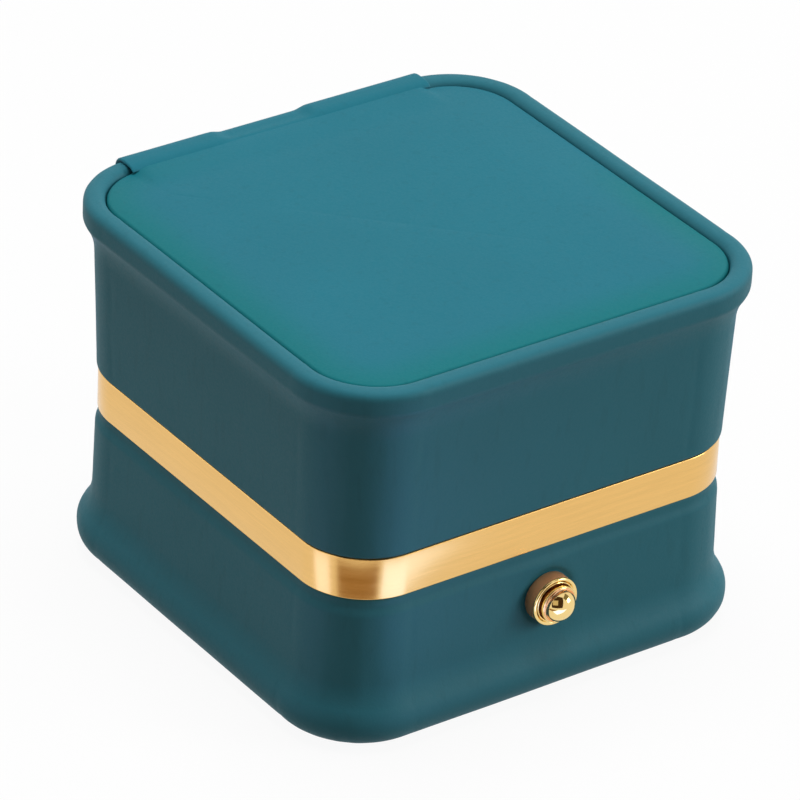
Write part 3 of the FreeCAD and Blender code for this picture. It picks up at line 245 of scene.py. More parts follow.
def fill_leather_grain(nodes, entry, leave):
    place = nodes.object_place()
    cells = nodes.maths("DIVIDE", 1.0, entry.outputs["Cell Size"])
    pebble = nodes.add("ShaderNodeTexVoronoi", {"Vector": place, "Scale": cells, "Randomness": 0.9},
                       feature="SMOOTH_F1").outputs["Distance"]
    fine = nodes.noise(place, nodes.maths("MULTIPLY", cells, 1.7), 3.0, 0.6)
    raised = nodes.maths("ADD", nodes.maths("MULTIPLY", pebble, entry.outputs["Pebble"]), fine)
    nodes.send(leave, "Height", raised)
    nodes.send(leave, "Tone", nodes.ranged(nodes.noise(place, 55.0, 3.0), 0.3, 0.7, 0.0, 1.0))
    pits = nodes.noise(nodes.object_place((1, 1, 0.22)), 900.0, 1.0)
    nodes.send(leave, "Pores", nodes.ranged(pits, 0.60, 0.72, 0.0, 1.0))


def fill_brushed_lines(nodes, entry, leave):
    fine = nodes.noise(nodes.object_place((0.035, 0.035, 1.0)), entry.outputs["Lines"], 3.0, 0.65)
    broad = nodes.noise(nodes.object_place((0.05, 0.05, 1.0)),
                        nodes.maths("MULTIPLY", entry.outputs["Lines"], 0.22), 1.0)
    nodes.send(leave, "Height", fine)
    nodes.send(leave, "Streak", nodes.maths("MULTIPLY", nodes.maths("ADD", fine, broad), 0.5))


def fill_fibre_nap(nodes, entry, leave):
    place = nodes.object_place()
    tufts = nodes.noise(place, entry.outputs["Tufts"], 2.0, 0.7)
    brushed = nodes.noise(place, 210.0, 3.0, 0.6)
    nodes.send(leave, "Height", nodes.maths("ADD", tufts, nodes.maths("MULTIPLY", brushed, 0.5)))
    both = nodes.maths("ADD", tufts, brushed)
    nodes.send(leave, "Tone", nodes.ranged(both, 0.75, 1.25, 0.0, 1.0))


def fill_hairline_wear(nodes, entry, leave):
    scratch = nodes.noise(nodes.object_place((1.0, 0.3, 0.12)), entry.outputs["Scale"], 2.0, 0.7)
    coarse = nodes.maths("MULTIPLY", entry.outputs["Scale"], 0.2)
    haze = nodes.noise(nodes.object_place(), coarse, 3.0)
    marks = nodes.ranged(scratch, 0.60, 0.75, 0.0, 1.0)
    nodes.send(leave, "Wear", nodes.maths("ADD", marks, nodes.maths("MULTIPLY", haze, 0.5)))
    nodes.send(leave, "Height", scratch)


GROUPS = {
    "leather": shader_group("Leather grain", [("Cell Size", 0.00034), ("Pebble", 0.8)],
                            ["Height", "Tone", "Pores"], fill_leather_grain),
    "brushed": shader_group("Brushed lines", [("Lines", 9000.0)], ["Height", "Streak"],
                            fill_brushed_lines),
    "nap": shader_group("Fibre nap", [("Tufts", 2600.0)], ["Height", "Tone"], fill_fibre_nap),
    "wear": shader_group("Hairline wear", [("Scale", 2500.0)], ["Wear", "Height"],
                         fill_hairline_wear),
}


def material(name, constants):
    """A Principled material with its plain numbers set on the shader's own sockets."""
    mat = bpy.data.materials.new(name)
    mat.use_nodes = True
    nodes = Nodes(mat.node_tree)
    shader = mat.node_tree.nodes["Principled BSDF"]
    for socket, value in constants.items():
        shader.inputs[socket].default_value = value
    return mat, nodes, shader


def effect(nodes, name, **values):
    node = nodes.add("ShaderNodeGroup", node_tree=GROUPS[name])
    for label, value in values.items():
        node.inputs[label].default_value = value
    return node.outputs


def shaded(base, factor):
    return tuple(min(part * factor, 1.0) for part in base) + (1.0,)


def bump(nodes, shader, height, distance):
    relief = nodes.add("ShaderNodeBump", {"Height": height, "Distance": distance})
    nodes.send(shader, "Normal", relief.outputs[0])


def leather_material(name, base, grain_depth):
    """Grained leather, with painted greenish light where the pad's point attribute says so."""
    mat, nodes, shader = material(name, {"Specular IOR Level": 0.28})
    grain = effect(nodes, "leather")
    tinted = nodes.toned(grain["Tone"], base, 0.97, 1.03)
    # painted light: a greenish tint on the pad's tilted front and left edges, fading towards the
    # back
    edge = nodes.add("ShaderNodeAttribute", attribute_name="edge_near").outputs["Fac"]
    green_light_colour = (base[0] * 0.2, base[1] * 1.02, base[2] * 0.80, 1.0)
    tinted = nodes.blend_colour(nodes.maths("MULTIPLY", edge, 0.78), tinted, green_light_colour)
    pores = nodes.maths("MULTIPLY", grain["Pores"], 0.12)
    nodes.send(shader, "Base Color", nodes.blend_colour(pores, tinted, shaded(base, 0.6)))
    nodes.send(shader, "Roughness", nodes.ranged(grain["Height"], 0.4, 1.2, 0.52, 0.66))
    bump(nodes, shader, grain["Height"], grain_depth)
    return mat


def brushed_material(name, base, relief):
    """Metal brushed along the band."""
    mat, nodes, shader = material(name, {"Metallic": 1.0})
    lines = effect(nodes, "brushed")
    streaks = nodes.ranged(lines["Streak"], 0.38, 0.62, 0.0, 1.0)
    nodes.send(shader, "Base Color", nodes.toned(streaks, base, 0.965, 1.02))
    nodes.send(shader, "Roughness", nodes.ranged(lines["Streak"], 0.35, 0.65, 0.19, 0.25))
    bump(nodes, shader, lines["Height"], relief)
    return mat


def worn_material(name, base, roughness, relief, scale, constants, tones, spread):
    """A hard surface with hairline wear in its colour, gloss and relief."""
    mat, nodes, shader = material(name, constants)
    wear = effect(nodes, "wear", Scale=scale)
    nodes.send(shader, "Base Color", nodes.toned(wear["Wear"], base, *tones))
    nodes.send(shader, "Roughness",
               nodes.ranged(wear["Wear"], 0.0, 1.5, roughness, roughness + spread))
    bump(nodes, shader, wear["Height"], relief)
    return mat


def metal_material(name, base, roughness, relief=1.5 * MICRON, scale=2500.0, metallic=1.0):
    return worn_material(name, base, roughness, relief, scale, {"Metallic": metallic},
                         (1.0, 0.90), 0.12)


def moulded_material(name, base, roughness, relief):
    return worn_material(name, base, roughness, relief, 1400.0, {"Specular IOR Level": 0.4},
                         (0.9, 1.25), 0.15)


def pile_material(name, base, tufts, depth, sheen):
    """Short pile with a nap."""
    mat, nodes, shader = material(name, {"Roughness": 0.95, "Specular IOR Level": 0.15,
                                         "Sheen Weight": sheen, "Sheen Roughness": 0.35})
    nap = effect(nodes, "nap", Tufts=tufts)
    nodes.send(shader, "Base Color", nodes.toned(nap["Tone"], base, 0.82, 1.10))
    bump(nodes, shader, nap["Height"], depth)
    return mat


# Each finish's maker and numbers; its colour has the same name in the panel.
FINISHES = {
    "cover": (leather_material, 12 * MICRON),
    "leather": (leather_material, 12 * MICRON),
    "strap": (leather_material, 14 * MICRON),
    "band": (brushed_material, 1.8 * MICRON),
    "button": (metal_material, 0.05),
    "bezel": (metal_material, 0.5, 4 * MICRON, 5200.0, 0.0),
    "dish": (metal_material, 0.16),
    "steel": (metal_material, 0.30, 3 * MICRON),
    "plastic": (moulded_material, 0.48, 6 * MICRON),
    "board": (moulded_material, 0.80, 20 * MICRON),
    "velour": (pile_material, 2600.0, 180 * MICRON, 0.35),
    "flock": (pile_material, 4200.0, 80 * MICRON, 0.20),
}


def finish(name):
    """The material of a finish, made once from its colour in the panel."""
    label = f"{name}_finish"
    if label not in bpy.data.materials:
        maker, *numbers = FINISHES[name]
        maker(label, getattr(bpy.context.scene.ring_box_colours, name), *numbers)
    return bpy.data.materials[label]


# ------------------------------------------------------------------ mesh helpers

def placed(name, mesh, surface):
    """A new object with this mesh, at the origin, with one finish and smooth faces."""
    thing = bpy.data.objects.new(name, mesh)
    bpy.context.scene.collection.objects.link(thing)
    if surface:
        mesh.materials.clear()
        mesh.materials.append(surface)
    for face in mesh.polygons:
        face.use_smooth = True
    return thing


def evaluated(thing, name):
    """The plain mesh that an object's modifiers give; the object itself is removed."""
    bpy.context.view_layer.update()
    graph = bpy.context.evaluated_depsgraph_get()
    mesh = bpy.data.meshes.new_from_object(thing.evaluated_get(graph), depsgraph=graph)
    mesh.name = name
    bpy.data.objects.remove(thing)
    return mesh


def face_outwards(mesh, merge=0.0):
    work = bmesh.new()
    work.from_mesh(mesh)
    if merge:
        bmesh.ops.remove_doubles(work, verts=work.verts, dist=merge)
    bmesh.ops.recalc_face_normals(work, faces=work.faces)
    work.to_mesh(mesh)
    work.free()


def mesh_from(name, corners, faces):
    mesh = bpy.data.meshes.new(name)
    mesh.from_pydata(corners, [], faces)
    mesh.update()
    return mesh


def carve(thing, cutters):
    """Cut closed shapes out of a piece, and remove the shapes."""
    name, materials = thing.name, list(thing.data.materials)
    for cutter in cutters:
        cut = thing.modifiers.new("cut", "BOOLEAN")
        cut.operation = "DIFFERENCE"
        cut.solver = "EXACT"
        cut.object = cutter
    thing.name = f"{name}_uncut"
    mesh = evaluated(thing, name)
    for cutter in cutters:
        bpy.data.objects.remove(cutter)
    return placed(name, mesh, materials[0] if materials else None)


def box_shape(low, high):
    corners = [(x, y, z) for x in (low[0], high[0]) for y in (low[1], high[1])
               for z in (low[2], high[2])]
    faces = [(0, 1, 3, 2), (4, 6, 7, 5), (0, 4, 5, 1), (2, 3, 7, 6), (0, 2, 6, 4), (1, 5, 7, 3)]
    mesh = mesh_from("block", corners, faces)
    face_outwards(mesh)
    return placed("block", mesh, None)


def lathed(name, profile, steps, centre, surface):
    """Closed shape turned about a line along Y; profile holds (radius, y) from pole to pole."""
    corners, rings = [], []
    for radius, along in profile:
        turns = steps if radius > 1e-7 else 1
        rings.append(list(range(len(corners), len(corners) + turns)))
        for step in range(turns):
            turn = 2 * math.pi * step / steps
            corners.append((centre[0] + radius * math.cos(turn), along,
                            centre[1] + radius * math.sin(turn)))
    faces = []
    for one, other in zip(rings, rings[1:]):
        for step in range(steps):
            after = (step + 1) % steps
            quad = [one[step % len(one)], one[after % len(one)],
                    other[after % len(other)], other[step % len(other)]]
            faces.append(list(dict.fromkeys(quad)))
    mesh = mesh_from(name, corners, faces)
    face_outwards(mesh)
    return placed(name, mesh, surface)


def arc(centre, radius, start, end, steps):
    """Points along an arc, with its angles in degrees."""
    turns = np.radians(np.linspace(start, end, steps))
    return [(centre[0] + radius * math.cos(t), centre[1] + radius * math.sin(t)) for t in turns]


def squared_arc(centre, radius, start, end, steps, square=2.6):
    """As arc, but fuller at its shoulders: a flat-topped roll."""
    points = []
    for turn in np.radians(np.linspace(start, end, steps)):
        c, s = math.cos(turn), math.sin(turn)
        points.append((centre[0] + radius * math.copysign(abs(c) ** (2 / square), c),
                       centre[1] + radius * math.copysign(abs(s) ** (2 / square), s)))
    return points


def rounded(radius, start, end, steps, across=0.0, along=0.0):
    """Points of a rolled edge whose crest is at (across, along); 90 degrees is a quarter."""
    return [(across + radius * math.sin(t), along + radius * (1 - math.cos(t)))
            for t in np.radians(np.linspace(start, end, steps))]


def line(start, end, steps):
    return [tuple(Vector(start).lerp(Vector(end), i / steps)) for i in range(steps + 1)]


def smooth_step(value, low, high):
    share = min(max((value - low) / (high - low), 0.0), 1.0)
    return share * share * (3 - 2 * share)


def bell(value, half):
    return math.exp(-(value / half) ** 2)


# ------------------------------------------------------------------ swept walls

CORNER_STEPS = 60
OUTER_STEPS, INNER_STEPS, EDGE_STEPS = 22, 5, 7
HOLE_RADIUS, HOLE_FRONT, HOLE_BACK = 2.75 * MM, -34 * MM, -28 * MM


def grown(name, tree_name, inputs, build):
    """The mesh of a geometry tree; inputs holds each named input's socket type and value.
    build(nodes, sockets) gives the shape, which is realized and gets the input Finish."""
    tree = bpy.data.node_groups.new(tree_name, "GeometryNodeTree")
    keys = {label: tree.interface.new_socket(label, in_out="INPUT", socket_type=kind).identifier
            for label, (kind, _) in inputs.items()}
    tree.interface.new_socket("Geometry", in_out="OUTPUT", socket_type="NodeSocketGeometry")
    nodes = Nodes(tree)
    entry = nodes.add("NodeGroupInput").outputs
    real = nodes.add("GeometryNodeRealizeInstances", {"Geometry": build(nodes, entry)})
    coated = nodes.add("GeometryNodeSetMaterial", {"Geometry": real.outputs[0],
                                                   "Material": entry["Finish"]})
    nodes.add("NodeGroupOutput", {"Geometry": coated.outputs[0]})
    carrier = placed(f"{name}_carrier", bpy.data.meshes.new(name), None)
    modifier = carrier.modifiers.new(tree_name, "NODES")
    modifier.node_group = tree
    for label, (_, value) in inputs.items():
        modifier[keys[label]] = value
    return evaluated(carrier, name)


def swept_wall(nodes, entry):
    """A section carried along a path whose corners are rounded."""
    path = nodes.add("GeometryNodeObjectInfo", {"Object": entry["Path"]})
    shape = nodes.add("GeometryNodeObjectInfo", {"Object": entry["Section"]})
    rounded_path = nodes.add("GeometryNodeFilletCurve",
                             {"Curve": path.outputs["Geometry"], "Radius": entry["Corner Radius"],
                              "Count": entry["Corner Steps"], "Limit Radius": False}, mode="POLY")
    spaced = nodes.add("GeometryNodeResampleCurve",
                       {"Curve": rounded_path.outputs[0], "Length": entry["Spacing"]},
                       mode="LENGTH")
    upright = nodes.add("GeometryNodeSetCurveNormal", {"Curve": spaced.outputs[0]}, mode="Z_UP")
    return nodes.add("GeometryNodeCurveToMesh",
                     {"Curve": upright.outputs[0], "Profile Curve": shape.outputs["Geometry"],
                      "Fill Caps": entry["Close Ends"]}).outputs[0]


def guide(name, points, closed):
    """A straight-run curve through points, for a tree to read."""
    curve = bpy.data.curves.new(name, "CURVE")
    curve.dimensions = "3D"
    run = curve.splines.new("POLY")
    run.points.add(len(points) - 1)
    for point, place in zip(run.points, points):
        point.co = (place[0], place[1], 0.0, 1.0)
    run.use_cyclic_u = closed
    thing = bpy.data.objects.new(name, curve)
    bpy.context.scene.collection.objects.link(thing)
    return thing


def swept(name, section, surface, gap_half=None):
    """A section of (across, up) points carried round the box; gap_half opens it at the back."""
    walls = bpy.context.scene.ring_box_walls
    half = walls.band_half
    corners = [(-half, half), (-half, -half), (half, -half), (half, half)]
    if gap_half is None:
        path = guide("path", [(0, half)] + corners, True)
    else:
        path = guide("path", [(-gap_half, half)] + corners + [(gap_half, half)], False)
    shape = guide("section", [(across - half, -up) for across, up in section], True)
    mesh = grown(name, "Swept wall", {
        "Path": ("NodeSocketObject", path), "Section": ("NodeSocketObject", shape),
        "Corner Radius": ("NodeSocketFloat", walls.corner),
        "Corner Steps": ("NodeSocketInt", CORNER_STEPS),
        "Spacing": ("NodeSocketFloat", walls.spacing),
        "Close Ends": ("NodeSocketBool", gap_half is not None),
        "Finish": ("NodeSocketMaterial", surface)}, swept_wall)
    bpy.data.objects.remove(path)
    bpy.data.objects.remove(shape)
    face_outwards(mesh, 1e-6)
    return placed(name, mesh, surface)


class Wall:
    """Wall line, hollow flare and bead of the lid (side 1) or the base (side -1), in metres."""

    def __init__(self, side, edge, lean, flare, bead, bead_centre):
        self.side, self.edge, self.slope = side, edge, math.tan(lean)
        self.flare, self.bead, self.centre = flare, bead, bead_centre

    def across(self, inset, up):
        return self.edge[0] - inset + self.slope * (up - self.edge[1]) * self.side

    def profile(self, inset, start_up, steps):
        """Points up the wall from the seam, round the flare, to the end of the first bead arc.
        The flare's centre lies off the wall line and off the bead by its radius."""
        hollow, round_off = self.flare + inset, self.bead - inset
        bead_rise = (self.centre[1] - start_up) * self.side
        begin = self.across(inset, start_up) + hollow * math.hypot(1, self.slope)
        base = begin - self.centre[0]
        quad = 1 + self.slope ** 2
        linear = 2 * (base * self.slope - bead_rise)
        rest = base ** 2 + bead_rise ** 2 - (hollow + round_off) ** 2
        rise = (-linear - math.sqrt(linear ** 2 - 4 * quad * rest)) / (2 * quad)
        centre = (begin + self.slope * rise, start_up + self.side * rise)
        leave = 180 - math.degrees(math.atan(self.slope)) * self.side
        meet = math.degrees(math.atan2(self.centre[1] - centre[1],
                                       self.centre[0] - centre[0])) % 360
        flare = arc(centre, hollow, leave, meet, steps)
        bead = arc(self.centre, round_off, meet - 180, 0 if self.side > 0 else -90, steps)
        wall = line((self.across(inset, start_up), start_up), flare[0], steps * 2)
        return wall[:-1] + flare[:-1] + bead


def lid_wall(walls):
    return Wall(1, (walls.band_half + walls.lid_reach, LID_BOTTOM), walls.lid_lean,
                walls.lid_flare, walls.rim_bead,
                (walls.rim_across, RIM_TOP - walls.rim_bead - walls.rim_side))


def base_wall(walls):
    return Wall(-1, (walls.band_half + walls.base_reach, SHOULDER), walls.base_lean,
                walls.base_flare, walls.foot_bead, (walls.foot_across, walls.foot_bead))


# The dent of a fingertip in the rim's back edge
DIP_MIDDLE, DIP_HALF, DIP_DEEP = -1.65 * MM, 7.0 * MM, 0.38 * MM
DIP_FADE_IN, DIP_FADE_OUT = 1.6 * MM, 0.4 * MM
DIP_BACK = (28.4 * MM, 30.2 * MM)
DIP_HIGH = (46.0 * MM, 49.4 * MM)

# How far the wrapped leather stands off its swept form
WAVE_DEEP, FOLD_DEEP, PEBBLE_DEEP = 0.055 * MM, 0.045 * MM, 0.006 * MM
PUCKER_DEEP, PUCKER_AT_CORNER, PUCKER_HALF = 0.03 * MM, 0.10 * MM, 1.7 * MM
CREASE_DEEP, CREASE_HALF, CREASE_OFFSET = 0.06 * MM, 0.5 * MM, -0.9 * MM
CREASE_END = 5 * MM
TUCK_DEEP, TUCK_BELOW = 0.45 * MM, (0.8 * MM, 2.3 * MM)
STILL_EDGE, OUTER_SKIN = 2.0 * MM, 0.3 * MM
# Noise scales along x, y and z, for each metre
WAVE_SCALE, PEBBLE_SCALE = 70, 1500
FOLD_SCALE, PUCKER_SCALE, CREASE_SCALE = (620, 620, 75), (330, 330, 120), (900, 900, 160)
LID_TURN_UP, BASE_TURN_UP = RIM_TOP - 5.2 * MM, 8.6 * MM


def finger_dip(x, y, z):
    """How far the rim's back edge is pressed down for a fingertip."""
    side = 1 - smooth_step(abs(x - DIP_MIDDLE), DIP_HALF - DIP_FADE_IN, DIP_HALF + DIP_FADE_OUT)
    return DIP_DEEP * side * smooth_step(y, *DIP_BACK) * smooth_step(z, *DIP_HIGH)


def drawn_noise(x, y, z, scale, shift_y=0, shift_z=0):
    """Noise with its own scale along each axis."""
    return noise.noise(Vector((x * scale[0], y * scale[1] + shift_y, z * scale[2] + shift_z)))


def drape(mesh, walls, is_lid):
    """Hand-wrapped leather: low waves, upright folds and creases at the corners, puckers
    where the wall turns outwards, and on the base a tuck under the band."""
    axis = walls.band_half - walls.corner
    turn_up = LID_TURN_UP if is_lid else BASE_TURN_UP
    for vertex in mesh.vertices:
        x, y, z = vertex.co
        near = Vector((min(max(x, -axis), axis), min(max(y, -axis), axis)))
        out = Vector((x, y)) - near
        if out.length < 1e-6:
            continue
        outside = out.length > walls.corner - OUTER_SKIN
        out.normalize()
        corner = smooth_step(min(abs(out.x), abs(out.y)), 0.05, 0.6)
        lies = Vector((near.x + out.x * walls.corner, near.y + out.y * walls.corner, z))
        wave = noise.noise(lies * WAVE_SCALE) * WAVE_DEEP
        folds = drawn_noise(lies.x, lies.y, z, FOLD_SCALE) * FOLD_DEEP * corner
        pucker = drawn_noise(lies.x, lies.y, z, PUCKER_SCALE, shift_z=9)
        pucker *= bell(z - turn_up, PUCKER_HALF)
        pucker *= PUCKER_DEEP + PUCKER_AT_CORNER * corner
        pebble = noise.noise(lies * PEBBLE_SCALE) * PEBBLE_DEEP
        past = min(abs(abs(x) - axis - CREASE_OFFSET), abs(abs(y) - axis - CREASE_OFFSET))
        crease = bell(past, CREASE_HALF) * CREASE_DEEP
        crease *= smooth_step(abs(z - turn_up), 0, CREASE_END)
        crease *= 0.5 + drawn_noise(near.x, near.y, z, CREASE_SCALE)
        move = wave + folds + pucker + pebble - crease
        move *= smooth_step(abs(z - (LID_BOTTOM if is_lid else SHOULDER)), 0, STILL_EDGE)
        if outside and not is_lid:
            move -= TUCK_DEEP * (1 - smooth_step(SHOULDER - z, *TUCK_BELOW))
        vertex.co = (x + out.x * move, y + out.y * move, z - finger_dip(x, y, z))
    mesh.update()


BOARD_GAP, LID_SEAM_GAP = 0.1 * MM, 0.07 * MM
WINDOW_FROM, WINDOW_TO = 27 * MM, 31.6 * MM


def make_base_cover(walls):
    form = base_wall(walls)
    board_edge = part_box("bottom_board")[1].x + BOARD_GAP
    edge = walls.edge_round
    outer = form.profile(0.0, SHOULDER, OUTER_STEPS)[1:]
    outer += line((form.centre[0], 0.0), (board_edge, 0.0), 6)[1:]
    inner = form.profile(walls.leather, SHOULDER, INNER_STEPS)[1:] + [(board_edge, walls.leather)]
    outer = [point for point in outer if point[1] < SHOULDER - edge]
    inner = [point for point in inner if point[1] < SHOULDER - edge]
    top = arc((form.across(edge, SHOULDER), SHOULDER - edge), edge, 180, 0, EDGE_STEPS)
    cover = swept("base_leather", top + outer + inner[::-1], finish("cover"))
    bore = [(0, HOLE_FRONT), (HOLE_RADIUS, HOLE_FRONT), (HOLE_RADIUS, HOLE_BACK), (0, HOLE_BACK)]
    cover = carve(cover, [lathed("hole", bore, 64, (0, BUTTON_UP), None)])
    drape(cover.data, walls, False)
    seat_leather(cover.data, -walls.band_half - walls.base_reach)
    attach(cover, "base")
    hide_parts("base_cover")


# The leather round the bezel: which points are shaped, how they are pressed in, and the
# groove and the swell as (distance from the bezel's edge, half width, size)
SEAT_FRONT, SEAT_NEAR, SKIN_FRONT, SEAT_SUNK = -29 * MM, 9 * MM, -29.9 * MM, 0.02 * MM
SEAT_FADE = (-0.1 * MM, 0.7 * MM)
SEAT_GROOVE = (0.12 * MM, 0.34 * MM, 0.12 * MM)
SEAT_SWELL = (1.3 * MM, 0.8 * MM, 0.05 * MM)


def seat_leather(mesh, seat_y):
    """The leather is pressed in under the bezel, with a groove and a soft swell round it."""
    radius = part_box("button_bezel")[1].x
    for vertex in mesh.vertices:
        x, y, z = vertex.co
        away = math.hypot(x, z - BUTTON_UP)
        if y > SEAT_FRONT or away > SEAT_NEAR:
            continue
        depth = 1 - smooth_step(away - radius, *SEAT_FADE)
        sunk = seat_y + SEAT_SUNK if y < SKIN_FRONT else y
        groove, swell = (bell(away - radius - middle, half) * size
                         for middle, half, size in (SEAT_GROOVE, SEAT_SWELL))
        vertex.co.y = y * (1 - depth) + max(y, sunk) * depth - swell + groove
    mesh.update()


def make_lid_cover(walls):
    form = lid_wall(walls)
    edge = walls.edge_round
    rim = (form.centre[0], RIM_TOP - walls.rim_bead)
    over_board = BOARD_TOP + 0.05 * MM
    outer = form.profile(0.0, LID_BOTTOM, OUTER_STEPS)[1:]
    outer += squared_arc(rim, walls.rim_bead, 0, 180, 40)
    outer += line(outer[-1], (outer[-1][0], over_board), 3)[1:]
    inner = form.profile(walls.leather, LID_BOTTOM, INNER_STEPS)[1:]
    inner += arc(rim, walls.rim_bead - walls.leather, 0, 180, EDGE_STEPS)
    inner += [(inner[-1][0], over_board)]
    outer = [point for point in outer if point[1] > LID_BOTTOM + edge]
    inner = [point for point in inner if point[1] > LID_BOTTOM + edge]
    seam_up = LID_BOTTOM + edge - LID_SEAM_GAP
    low = arc((form.across(edge, LID_BOTTOM), seam_up), edge, 180, 360, EDGE_STEPS)
    cover = swept("lid_leather", low + outer + inner[::-1], finish("cover"))
    window = box_shape((-WINDOW_HALF, WINDOW_FROM, LID_BOTTOM - MM),
                       (WINDOW_HALF, WINDOW_TO, LEAF_TOP + 0.1 * MM))
    cover = carve(cover, [window])
    drape(cover.data, walls, True)
    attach(cover, "lid")
    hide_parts("lid_cover")


BAND_THICK, BAND_BEVEL = 0.8 * MM, 0.15 * MM


def make_band(walls):
    low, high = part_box("gold_band")
    inner, outer, bevel = walls.band_half - BAND_THICK, walls.band_half, BAND_BEVEL
    section = [(inner, high.z), (inner, low.z)]
    section += arc((outer - bevel, low.z + bevel), bevel, -90, 0, 5)
    section += arc((outer - bevel, high.z - bevel), bevel, 0, 90, 5)
    band = swept("brushed_band", section, finish("band"), WINDOW_HALF)
    for face in band.data.polygons:
        face.use_smooth = abs(face.normal.z) < 0.98
    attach(band, "base")
    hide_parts("gold_band")


# ------------------------------------------------------------------ padded pieces

SIM_SCALE, SIM_FRAMES = 10.0, 20
LEAST_RADIUS = 0.3 * MM
PAD_ROUNDING, PAD_RISE, PAD_RISE_OVER = 0.5 * MM, 0.26 * MM, 2.5 * MM
PAD_BELOW_RIM, PAD_SIDE, PAD_GLUED = 0.48 * MM, 0.9 * MM, 0.9 * MM
PAD_LIFT, PAD_LIFT_BACK = 0.62 * MM, (23.0 * MM, 28.6 * MM)
PAD_LIFT_SIDE = (20.6 * MM, 22.4 * MM)
PAD_SWELL, PAD_EASING, PAD_MIDDLE = 0.30 * MM, 90, 0.8 * MM
PAD_RINGS, PAD_CORNER_STEPS, PAD_SIDE_STEPS = 46, 20, 44
# Painted greenish light on the pad's edges: its width, the way its fade runs, and the span of the
# fade
GREEN_LIGHT_WIDE, GREEN_LIGHT_WAY, GREEN_LIGHT_FADE = 6.5 * MM, (0.55, 0.9), (5 * MM, 22 * MM)
CUSHION_SWELL, CUSHION_VOXEL, CUSHION_GLUED = 0.45 * MM, 0.75 * MM, 0.45 * MM
FOOT_INSET = 0.3 * MM
# Cushions: node, body, corner radius, rounding of the crown, and whether it is upside down
CUSHIONS = {"front_ring_cushion": ("ring_pad_front", "base", 2.4 * MM, 2.6 * MM, False),
            "rear_ring_cushion": ("ring_pad_rear", "base", 2.4 * MM, 2.6 * MM, False),
            "lid_cushion": ("lid_pad", "lid", 6.0 * MM, 1.4 * MM, True)}


def stacked(name, low, high, corner, levels, steps=10, side_steps=1):
    """Closed form of rounded rectangles laid over each other; levels holds (inset, up)."""
    corners, faces = [], []
    for inset, up in levels:
        radius = max(corner - inset, LEAST_RADIUS)
        left, front, right, back = (low[0] + inset, low[1] + inset, high[0] - inset,
                                    high[1] - inset)
        turns = (((right - radius, back - radius), (left + radius, back)),
                 ((left + radius, back - radius), (left, front + radius)),
                 ((left + radius, front + radius), (right - radius, front)),
                 ((right - radius, front + radius), (right, back - radius)))
        for turn, (middle, ahead) in enumerate(turns):
            bend = arc(middle, radius, 90 * turn, 90 * turn + 90, steps)
            bend += line(bend[-1], ahead, side_steps)[1:-1]
            corners += [(x, y, up) for x, y in bend]
    ring = 4 * (steps + side_steps - 1)
    for level in range(len(levels) - 1):
        for step in range(ring):
            after = (step + 1) % ring
            faces.append((level * ring + step, level * ring + after,
                          (level + 1) * ring + after, (level + 1) * ring + step))
    faces.append(tuple(range(ring))[::-1])
    faces.append(tuple(range((len(levels) - 1) * ring, len(levels) * ring)))
    mesh = mesh_from(name, corners, faces)
    face_outwards(mesh)
    return placed(name, mesh, None)


def eased(mesh, move, still, rounds):
    """The points' moves, each evened out with its neighbours'; still points don't move."""
    edges = np.array([edge.vertices[:] for edge in mesh.edges])
    count = np.bincount(edges.ravel(), minlength=len(move))[:, None]
    for _ in range(rounds):
        total = np.zeros_like(move)
        np.add.at(total, edges[:, 0], move[edges[:, 1]])
        np.add.at(total, edges[:, 1], move[edges[:, 0]])
        move = move * 0.4 + total / count * 0.6
        move[still] = 0.0
    return move


def blown_up(piece, still):
    """The points of a piece after its cloth was filled; still says which ones are glued."""
    glued = piece.vertex_groups.new(name="glued")
    glued.add(np.flatnonzero(still).tolist(), 1.0, "REPLACE")
    cloth = piece.modifiers.new("filling", "CLOTH")
    for name, value in (("quality", 5), ("mass", 0.3), ("use_pressure", True),
                        ("uniform_pressure_force", 4.0), ("vertex_group_mass", "glued")):
        setattr(cloth.settings, name, value)
    cloth.settings.effector_weights.gravity = 0.0
    cloth.point_cache.frame_start = 1
    cloth.point_cache.frame_end = SIM_FRAMES
    for step in range(1, SIM_FRAMES + 1):
        bpy.context.scene.frame_set(step)
    graph = bpy.context.evaluated_depsgraph_get()
    filled = np.array([v.co for v in piece.evaluated_get(graph).data.vertices])
    piece.modifiers.remove(cloth)
    bpy.context.scene.frame_set(1)
    return filled


def stuffed(thing, name, surface, held, cap, voxel=None, rounds=4):
    """Fill a form with cloth pressure, up to cap. held(place) says which points are glued."""
    thing.data.transform(Matrix.Scale(SIM_SCALE, 4))
    if voxel:
        remesh = thing.modifiers.new("voxels", "REMESH")
        remesh.mode = "VOXEL"
        remesh.voxel_size = voxel * SIM_SCALE
    mesh = evaluated(thing, name)
    piece = placed(name, mesh, None)
    start = np.array([v.co for v in mesh.vertices])
    still = np.array([held(v.co / SIM_SCALE) for v in mesh.vertices])
    move = blown_up(piece, still) - start
    size = np.linalg.norm(move, axis=1, keepdims=True)
    limit = cap * SIM_SCALE
    move *= limit * np.tanh(size / limit) / np.maximum(size, 1e-9)
    move = eased(mesh, move, still, rounds)
    mesh.vertices.foreach_set("co", (start + move).ravel())
    mesh.transform(Matrix.Scale(1 / SIM_SCALE, 4))
    if voxel:
        relax = piece.modifiers.new("relax", "SMOOTH")
        relax.factor = 0.5
        relax.iterations = 3
        finer = piece.modifiers.new("finer", "SUBSURF")
        finer.levels = finer.render_levels = 1
    piece.name = f"{name}_coarse"
    return placed(name, evaluated(piece, name), surface)


